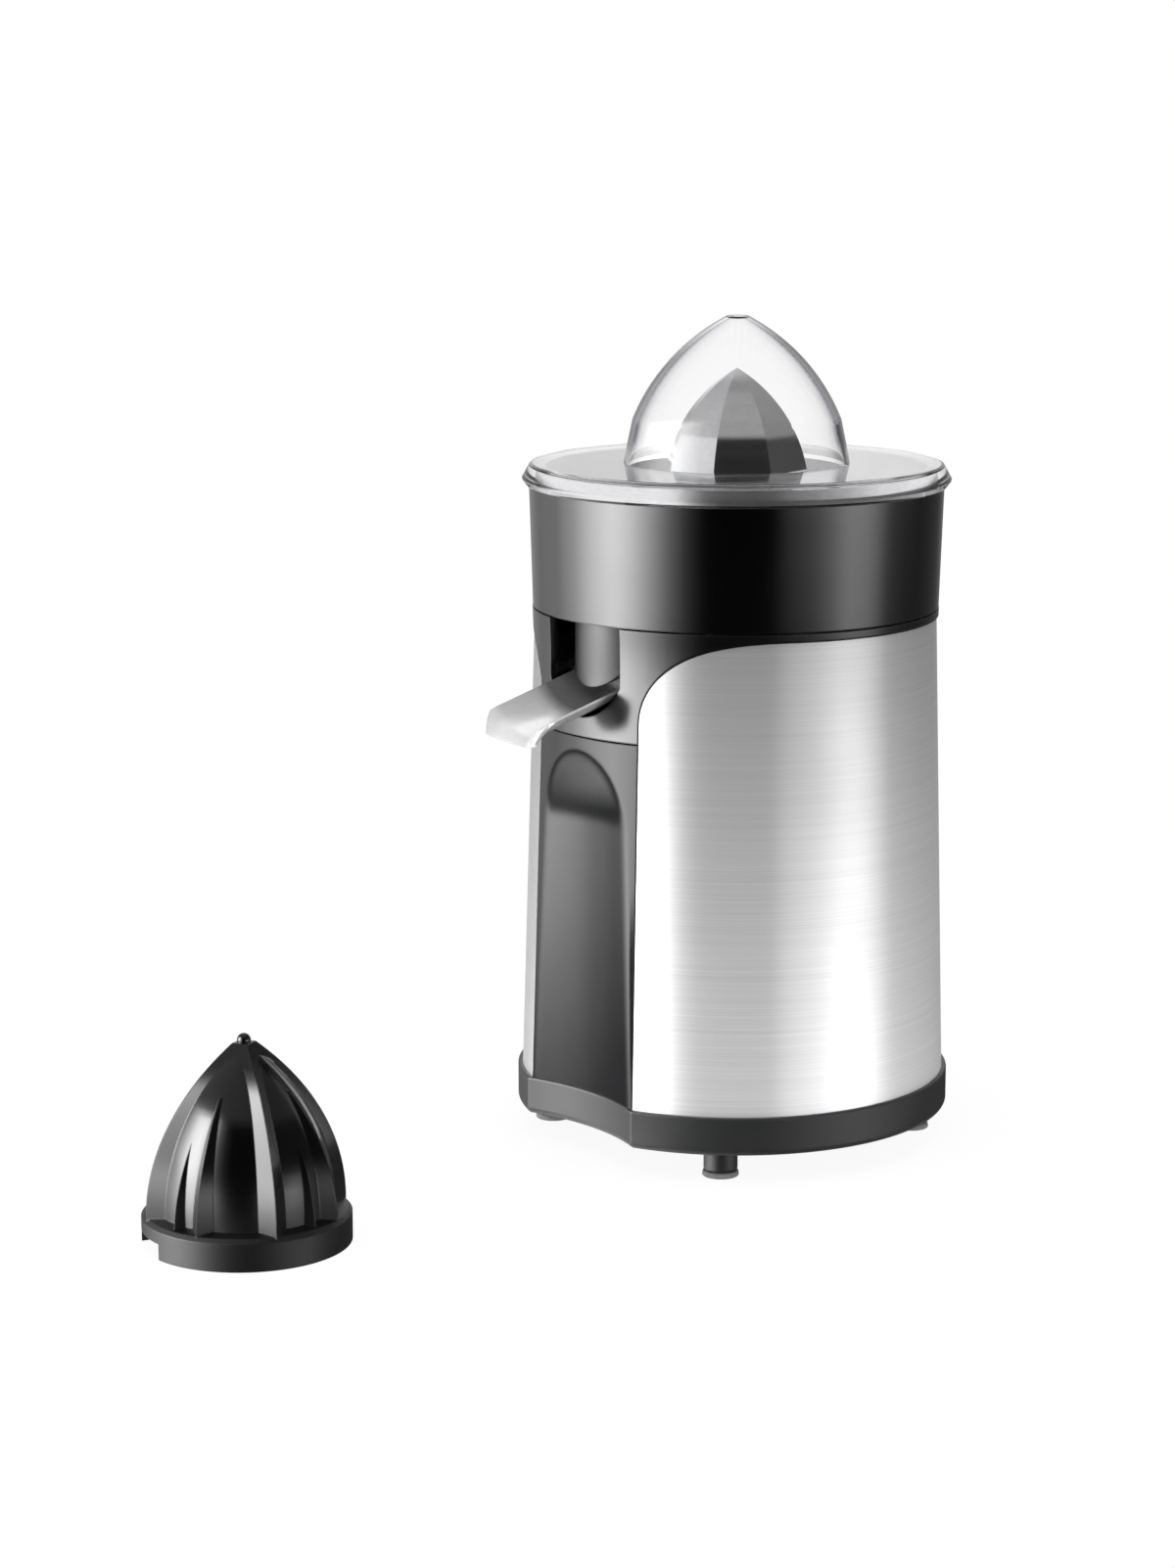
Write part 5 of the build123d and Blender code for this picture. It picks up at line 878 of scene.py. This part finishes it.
LOW_BANDS = (
    (-180, 0.02), (-142, 0.043), (-118, 0.11), (-101, 0.32), (-86, 0.8), (-72, 1.2), (-61, 1.0),
    (-50, 0.55), (-39, 0.19), (-28, 0.035), (-18, 0.0), (25, 0.0), (33, 0.014), (43, 0.04),
    (54, 0.12), (66, 0.28), (80, 0.19), (92, 0.032), (108, 0.01), (127, 0.007), (160, 0.01),
    (180, 0.02),
)
WALL_BANDS = (
    (-180, 0.025), (-142, 0.045), (-118, 0.11), (-101, 0.32), (-86, 0.8), (-72, 1.2), (-61, 1.1),
    (-50, 0.8), (-39, 0.4), (-28, 0.08), (-18, 0.002), (22, 0.002), (28, 0.16), (45, 0.26),
    (60, 0.42), (74, 0.42), (96, 0.05), (120, 0.008), (150, 0.008), (168, 0.02), (180, 0.025),
)
HIGH_BANDS = (
    (-180, 0.004), (-142, 0.004), (-118, 0.08), (-101, 0.5), (-86, 1.2), (-72, 1.5), (-61, 1.2),
    (-50, 0.6), (-39, 0.12), (-28, 0.02), (-16, 0.002), (25, 0.002), (45, 0.006), (96, 0.006),
    (120, 0.004), (180, 0.004),
)
CEILING_BANDS = (
    (-180, 0.028), (-90, 0.046), (-45, 0.040), (0, 0.034), (45, 0.027), (90, 0.022), (180, 0.028),
)
OVERHEAD = 0.065
FLOOR_BANDS = (
    (-180, 0.03), (-140, 0.12), (-100, 0.24), (-65, 0.12), (-30, 0.01), (60, 0.01), (180, 0.03),
)
TABLE_LEVEL = 0.05
FLOOR_TO_TABLE = (-0.44, -0.31)
TABLE_TO_LOW = (-0.258, -0.222)
LOW_TO_WALL = (-0.165, -0.135)
WALL_TO_HIGH = (0.0, 0.08)
HIGH_TO_CEILING = (0.44, 0.47)
CEILING_TO_OVERHEAD = (0.80, 0.92)
UNDER_LID = 0.95
TO_CAMERA = (0.755, -0.624, 0.20)
ANY_BOUNCE = 0.5
# Each lamp is its name, place, target, size in metres and power in watts.
LAMPS = (
    ("overhead", (0.1, -0.2, 1.6), (0.0, -0.1, 0.1), (1.6, 1.6), 14.0),
    ("left_box", (-0.4, -1.6, 0.7), (0.0, -0.1, 0.15), (0.9, 1.4), 10.0),
    ("right_box", (1.6, 0.1, 0.6), (0.0, -0.1, 0.15), (0.9, 1.4), 6.0),
)

scene = bpy.context.scene
camera_data = bpy.data.cameras.new("camera")
camera = bpy.data.objects.new("camera", camera_data)
scene.collection.objects.link(camera)
aim = Vector((*(c * math.cos(CAMERA_DIP) for c in CAMERA_HEADING), -math.sin(CAMERA_DIP)))
camera.location = CAMERA_PLACE
camera.rotation_euler = aim.to_track_quat("-Z", "Y").to_euler()
camera_data.lens = CAMERA_LENS
camera_data.sensor_width = CAMERA_SENSOR
camera_data.clip_end = CAMERA_REACH
scene.camera = camera
scene.view_settings.view_transform = "Standard"


def band_ramp(tree, bearing, bands):
    """Brightness over the bearing, whose bands are (degrees, level)."""
    stops = [(0.5 + degrees / 360.0, (level, level, level, 1.0)) for degrees, level in bands]
    return ramp(tree, bearing, stops)


def mixed_shader(tree, share, first, second):
    """The shader node between two shader nodes, by share."""
    return add(tree, "ShaderNodeMixShader", {0: share, 1: first.outputs[0], 2: second.outputs[0]})


def studio_world():
    """White to the eye, plain light for matt surfaces, soft boxes by bearing for glossy ones."""
    world = bpy.data.worlds.new("studio")
    world.use_nodes = True
    tree = world.node_tree
    tree.nodes.clear()
    way = add(tree, "ShaderNodeTexCoord").outputs["Generated"]
    turn = {"Vector": way, "Angle": STUDIO_TURN}
    turned = add(tree, "ShaderNodeVectorRotate", turn, rotation_type="Z_AXIS")
    split = add(tree, "ShaderNodeSeparateXYZ", {"Vector": turned.outputs["Vector"]})
    angle = math_node(tree, "ARCTAN2", split.outputs["Y"], split.outputs["X"])
    bearing = math_node(tree, "MULTIPLY_ADD", angle, 0.5 / math.pi, 0.5)
    rise = split.outputs["Z"]
    total = add(tree, "ShaderNodeVectorMath", {0: way, 1: TO_CAMERA}, operation="ADD")
    halfway = {0: total.outputs["Vector"]}
    facing = add(tree, "ShaderNodeVectorMath", halfway, operation="NORMALIZE")
    slope = add(tree, "ShaderNodeSeparateXYZ", {"Vector": facing.outputs["Vector"]}).outputs["Z"]
    room = band_ramp(tree, bearing, LOW_BANDS)
    for zone, by, span in (
        (band_ramp(tree, bearing, WALL_BANDS), rise, LOW_TO_WALL),
        (band_ramp(tree, bearing, HIGH_BANDS), rise, WALL_TO_HIGH),
        (band_ramp(tree, bearing, CEILING_BANDS), slope, HIGH_TO_CEILING),
        ((OVERHEAD, OVERHEAD, OVERHEAD, 1.0), slope, CEILING_TO_OVERHEAD),
    ):
        room = mixed(tree, spread(tree, by, 0.0, 1.0, *span), room, zone)
    room = mixed(tree, spread(tree, rise, TABLE_LEVEL, 1.0, *TABLE_TO_LOW), BLACKOUT, room)
    below = band_ramp(tree, bearing, FLOOR_BANDS)
    room = mixed(tree, spread(tree, rise, 0.0, 1.0, *FLOOR_TO_TABLE), below, room)
    path = add(tree, "ShaderNodeLightPath").outputs
    under = math_node(tree, "GREATER_THAN", path["Transmission Depth"], ANY_BOUNCE)
    room = mixed(tree, under, room, (UNDER_LID / BAND_SCALE,) * 3 + (1.0,), "DARKEN")
    boxes = add(tree, "ShaderNodeBackground", {"Color": room, "Strength": BAND_SCALE})
    plain = add(tree, "ShaderNodeBackground", {"Color": WHITE, "Strength": PLAIN_LEVEL})
    white = add(tree, "ShaderNodeBackground", {"Color": WHITE, "Strength": 1.0})
    seen = math_node(tree, "MAXIMUM", path["Is Camera Ray"], path["Is Transmission Ray"])
    mirrored = math_node(tree, "GREATER_THAN", path["Glossy Depth"], ANY_BOUNCE)
    final = mixed_shader(tree, mirrored, mixed_shader(tree, seen, plain, white), boxes)
    result = tree.nodes.new("ShaderNodeOutputWorld")
    tree.links.new(final.outputs[0], result.inputs["Surface"])
    return world


scene.world = studio_world()


def studio_floor():
    """White floor: bright to the eye, with a faint shadow near the press."""
    material, tree, shader = new_material("white_floor")
    tree.nodes.remove(shader)
    place = add(tree, "ShaderNodeTexCoord").outputs["Object"]
    far = add(tree, "ShaderNodeVectorMath", {0: place}, operation="LENGTH").outputs["Value"]
    near = spread(tree, far, FLOOR_SHADE, 0.0, *FLOOR_SHADE_SPAN)
    glow = add(tree, "ShaderNodeEmission")
    matt = add(tree, "ShaderNodeBsdfDiffuse", {"Color": FLOOR_WHITE})
    mix = mixed_shader(tree, near, glow, matt)
    tree.links.new(mix.outputs[0], tree.nodes["Material Output"].inputs["Surface"])
    reach = FLOOR_REACH / MM
    corners = [(-reach, -reach, 0), (reach, -reach, 0), (reach, reach, 0), (-reach, reach, 0)]
    floor = piece("floor", corners, [(0, 1, 2, 3)], material)
    floor.visible_glossy = False


studio_floor()


def soft_lamp(name, place, target, size, power):
    """A soft area lamp that lights the scene but isn't seen in reflections or through the lid."""
    data = bpy.data.lights.new(name, "AREA")
    data.shape = "RECTANGLE"
    data.size, data.size_y = size
    data.energy = power
    lamp = bpy.data.objects.new(name, data)
    scene.collection.objects.link(lamp)
    lamp.location = place
    lamp.rotation_euler = (Vector(target) - Vector(place)).to_track_quat("-Z", "Y").to_euler()
    lamp.visible_glossy = False
    lamp.visible_transmission = False


for lamp in LAMPS:
    soft_lamp(*lamp)
